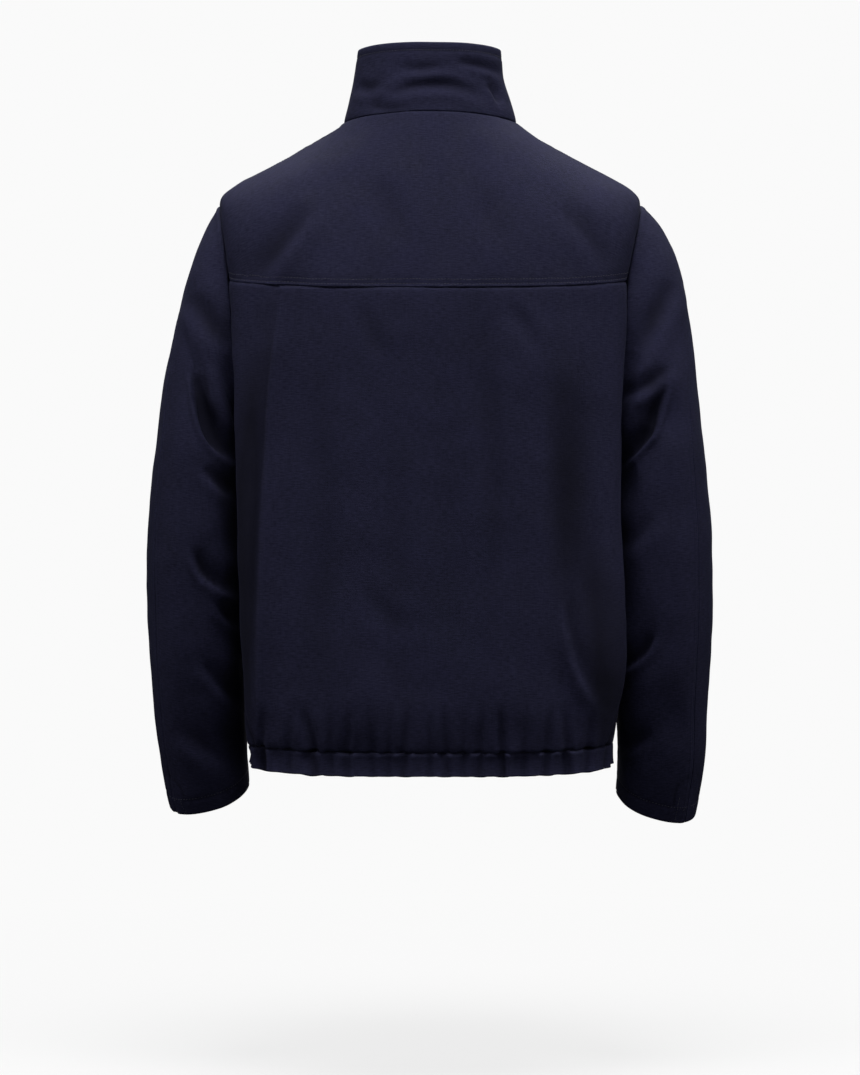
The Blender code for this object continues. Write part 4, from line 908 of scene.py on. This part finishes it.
# The gathered hem casing
# A strip of the twill folded double, drawn in so that it gathers.
CASING_THICKNESS = 0.0028
casing, casing_cut = cloth_of("hem_casing", BODY_AXIS, 2)
sew(
    casing, "hem_casing", CASING_PUCKERS,
    {"back_lower": GATHERED, "front_left": GATHERED, "front_right": GATHERED},
    seed=18.0, thickness=CASING_THICKNESS, hem=TURNED_EDGE,
)

# The zip
# Two woven polyester tapes sewn inside the fronts, brass teeth blackened to gunmetal and clamped to the tapes'
# edges, and a cast zinc slider with its pull tab, both plated to match.
TAPE_THICKNESS = 0.0009
TOOTH_PITCH = 0.00155
TOOTH_SIZE = (0.0036, 0.0019, 0.0011)
TOOTH_ASIDE = 0.0011
TOOTH_BEVEL = 0.00028
TOOTH_PROUD = 0.0003
TAPE_LINE_SCALE = 900.0
FAR_IN_FRONT = -1.0
OFF_CENTRE = 0.0004


# Woven polyester tape dyed navy: close, even and matt, with fine upright ribs.
def tape_material():
    """The zip's tapes."""
    made, tree = bare_material("navy_zip_tape_weave")
    place = add_node(tree, "ShaderNodeTexCoord", {})
    ribs = add_node(
        tree, "ShaderNodeTexWave", {"Scale": TAPE_LINE_SCALE, "Distortion": 1.0, "Detail": 1.0}, {"Vector": (place, "UV")}
    )
    colour = add_node(
        tree,
        "ShaderNodeMix",
        {"data_type": "RGBA", 6: linear("#171826"), 7: linear("#26273A")},
        {0: (ribs, "Fac")},
    )
    bump = add_node(tree, "ShaderNodeBump", {"Strength": 0.4, "Distance": 0.0002}, {"Height": (ribs, "Fac")})
    shader = add_node(
        tree,
        "ShaderNodeBsdfPrincipled",
        {"Roughness": 0.8, "Specular IOR Level": 0.2},
        {"Base Color": (colour, "Result"), "Normal": (bump, "Normal")},
    )
    add_node(tree, "ShaderNodeOutputMaterial", {}, {"Surface": (shader, "BSDF")})
    return made


# Gunmetal plating over cast zinc and brass: dark grey and satin, with the small uneven dullness of handled metal.
def gunmetal_material():
    """The zip's metal."""
    made, tree = bare_material("gunmetal_plating")
    place = add_node(tree, "ShaderNodeTexCoord", {})
    wear = add_node(tree, "ShaderNodeTexNoise", {"Scale": NAP_SCALE, "Detail": 4.0}, {"Vector": (place, "Object")})
    rough = add_node(tree, "ShaderNodeMapRange", {"To Min": 0.28, "To Max": 0.5}, {"Value": (wear, "Fac")})
    shader = add_node(
        tree,
        "ShaderNodeBsdfPrincipled",
        {"Base Color": linear("#57585E"), "Metallic": 1.0},
        {"Roughness": (rough, "Result")},
    )
    add_node(tree, "ShaderNodeOutputMaterial", {}, {"Surface": (shader, "BSDF")})
    return made


tape_weave = tape_material()
gunmetal = gunmetal_material()
for side in ("left", "right"):
    node = "zip_tape_" + side
    tape, tape_cut = cloth_of(node, BODY_AXIS, 2)
    give_thickness(tape, TAPE_THICKNESS)
    tape.data.materials.clear()
    tape.data.materials.append(tape_weave)
    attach(tape, "jacket")
    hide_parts(node)

chain_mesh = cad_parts["zip_chain"].data
chain = BVHTree.FromPolygons([v.co for v in chain_mesh.vertices], [tuple(f.vertices) for f in chain_mesh.polygons])
chain_heights = [v.co.z for v in chain_mesh.vertices]
bpy.ops.object.select_all(action="DESELECT")
bpy.ops.mesh.primitive_cube_add(size=1)
tooth = bpy.context.object
tooth.scale = TOOTH_SIZE
bpy.ops.object.transform_apply(scale=True)
rounding = tooth.modifiers.new("rounding", "BEVEL")
rounding.width = TOOTH_BEVEL
rounding.segments = 1
bpy.ops.object.modifier_apply(modifier=rounding.name)
tooth_shape = np.array([v.co for v in tooth.data.vertices])
tooth_faces = [tuple(f.vertices) for f in tooth.data.polygons]
bpy.data.objects.remove(tooth)
tooth_points = []
tooth_corners = []
height = max(chain_heights) - 2 * TOOTH_PITCH
while height > min(chain_heights) + 2 * TOOTH_PITCH:
    spot, normal, index, distance = chain.ray_cast(Vector((OFF_CENTRE, FAR_IN_FRONT, height)), Vector((0, 1, 0)))
    if spot is None:
        print(f"no chain at {height:.4f}")
        height -= TOOTH_PITCH
        continue
    count = len(tooth_points)
    aside = TOOTH_ASIDE if count % 2 else -TOOTH_ASIDE
    turn = np.array([(1, 0, 0), -normal, Vector((1, 0, 0)).cross(-normal)])
    middle = np.array(spot + normal * TOOTH_PROUD) + np.array([aside - OFF_CENTRE, 0, 0])
    tooth_corners.extend(tuple(count * len(tooth_shape) + corner for corner in face) for face in tooth_faces)
    tooth_points.append(tooth_shape @ turn + middle)
    height -= TOOTH_PITCH * abs(normal.y)
teeth_mesh = bpy.data.meshes.new("zip_teeth")
teeth_mesh.from_pydata(np.concatenate(tooth_points), [], tooth_corners)
teeth_mesh.update()
teeth = bpy.data.objects.new("zip_teeth", teeth_mesh)
bpy.context.collection.objects.link(teeth)
teeth_mesh.materials.append(gunmetal)
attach(teeth, "jacket")
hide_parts("zip_chain")
for node in ("zip_slider", "zip_pull"):
    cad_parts[node].data.materials.clear()
    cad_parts[node].data.materials.append(gunmetal)

# The room
# A plain pale floor well under the hem that fades into a plain pale backdrop, and plain soft studio light: large
# lamps overhead, and weak broad ones all round. The floor and backdrop only show, and shed no light of their own.
FLOOR_HEIGHT = -0.98
FLOOR_SIZE = 60
PALE = (0.955, 0.955, 0.955, 1)
ROOM_AIM = Vector((0, 0, -0.35))
LAMPS = [
    ("overhead_behind", (0.0, 1.4, 2.6), 2.4, 1.2, 98),
    ("overhead_in_front", (-0.2, -1.3, 2.7), 2.4, 1.2, 80),
    ("fill_behind", (0, 4.5, 0.5), 4.0, 2.0, 4),
    ("low_behind", (0, 3.6, -0.55), 4.4, 0.8, 19),
    ("fill_in_front", (0, -4.5, 0.3), 4.0, 2.2, 26),
    ("fill_left", (3.6, 0.3, 0.3), 2.0, 2.4, 24),
    ("fill_right", (-3.6, 0.3, 0.3), 2.0, 2.4, 27),
]
for name, place, width, height, energy in LAMPS:
    turn = (Vector(place) - ROOM_AIM).to_track_quat("Z", "Y").to_euler()
    bpy.ops.object.light_add(type="AREA", location=place, rotation=turn)
    lamp = bpy.context.object
    lamp.name = name
    lamp.data.shape = "RECTANGLE"
    lamp.data.size = width
    lamp.data.size_y = height
    lamp.data.energy = energy

bpy.ops.mesh.primitive_plane_add(size=FLOOR_SIZE, location=(0, 0, FLOOR_HEIGHT))
floor = bpy.context.object
floor.name = "floor"
floor.visible_diffuse = False
floor.visible_glossy = False
floor_paint, floor_tree = bare_material("pale_studio_floor")
floor_place = add_node(floor_tree, "ShaderNodeTexCoord", {})
floor_away = add_node(floor_tree, "ShaderNodeVectorMath", {"operation": "LENGTH"}, {0: (floor_place, "Object")})
floor_share = add_node(
    floor_tree,
    "ShaderNodeMapRange",
    {"From Min": 0.2, "From Max": 1.6, "To Min": 0.72, "interpolation_type": "SMOOTHSTEP"},
    {"Value": (floor_away, "Value")},
)
floor_matt = add_node(floor_tree, "ShaderNodeBsdfDiffuse", {"Color": (0.85, 0.85, 0.85, 1)})
floor_glow = add_node(floor_tree, "ShaderNodeEmission", {"Color": PALE, "Strength": 1.0})
floor_mix = add_node(
    floor_tree, "ShaderNodeMixShader", {}, {0: (floor_share, "Result"), 1: (floor_matt, "BSDF"), 2: (floor_glow, "Emission")}
)
add_node(floor_tree, "ShaderNodeOutputMaterial", {}, {"Surface": (floor_mix, "Shader")})
floor.data.materials.append(floor_paint)

world = bpy.data.worlds.new("studio")
world.use_nodes = True
world.node_tree.nodes["Background"].inputs["Color"].default_value = PALE
world.cycles_visibility.diffuse = False
world.cycles_visibility.glossy = False
bpy.context.scene.world = world
bpy.context.scene.view_settings.view_transform = "Standard"
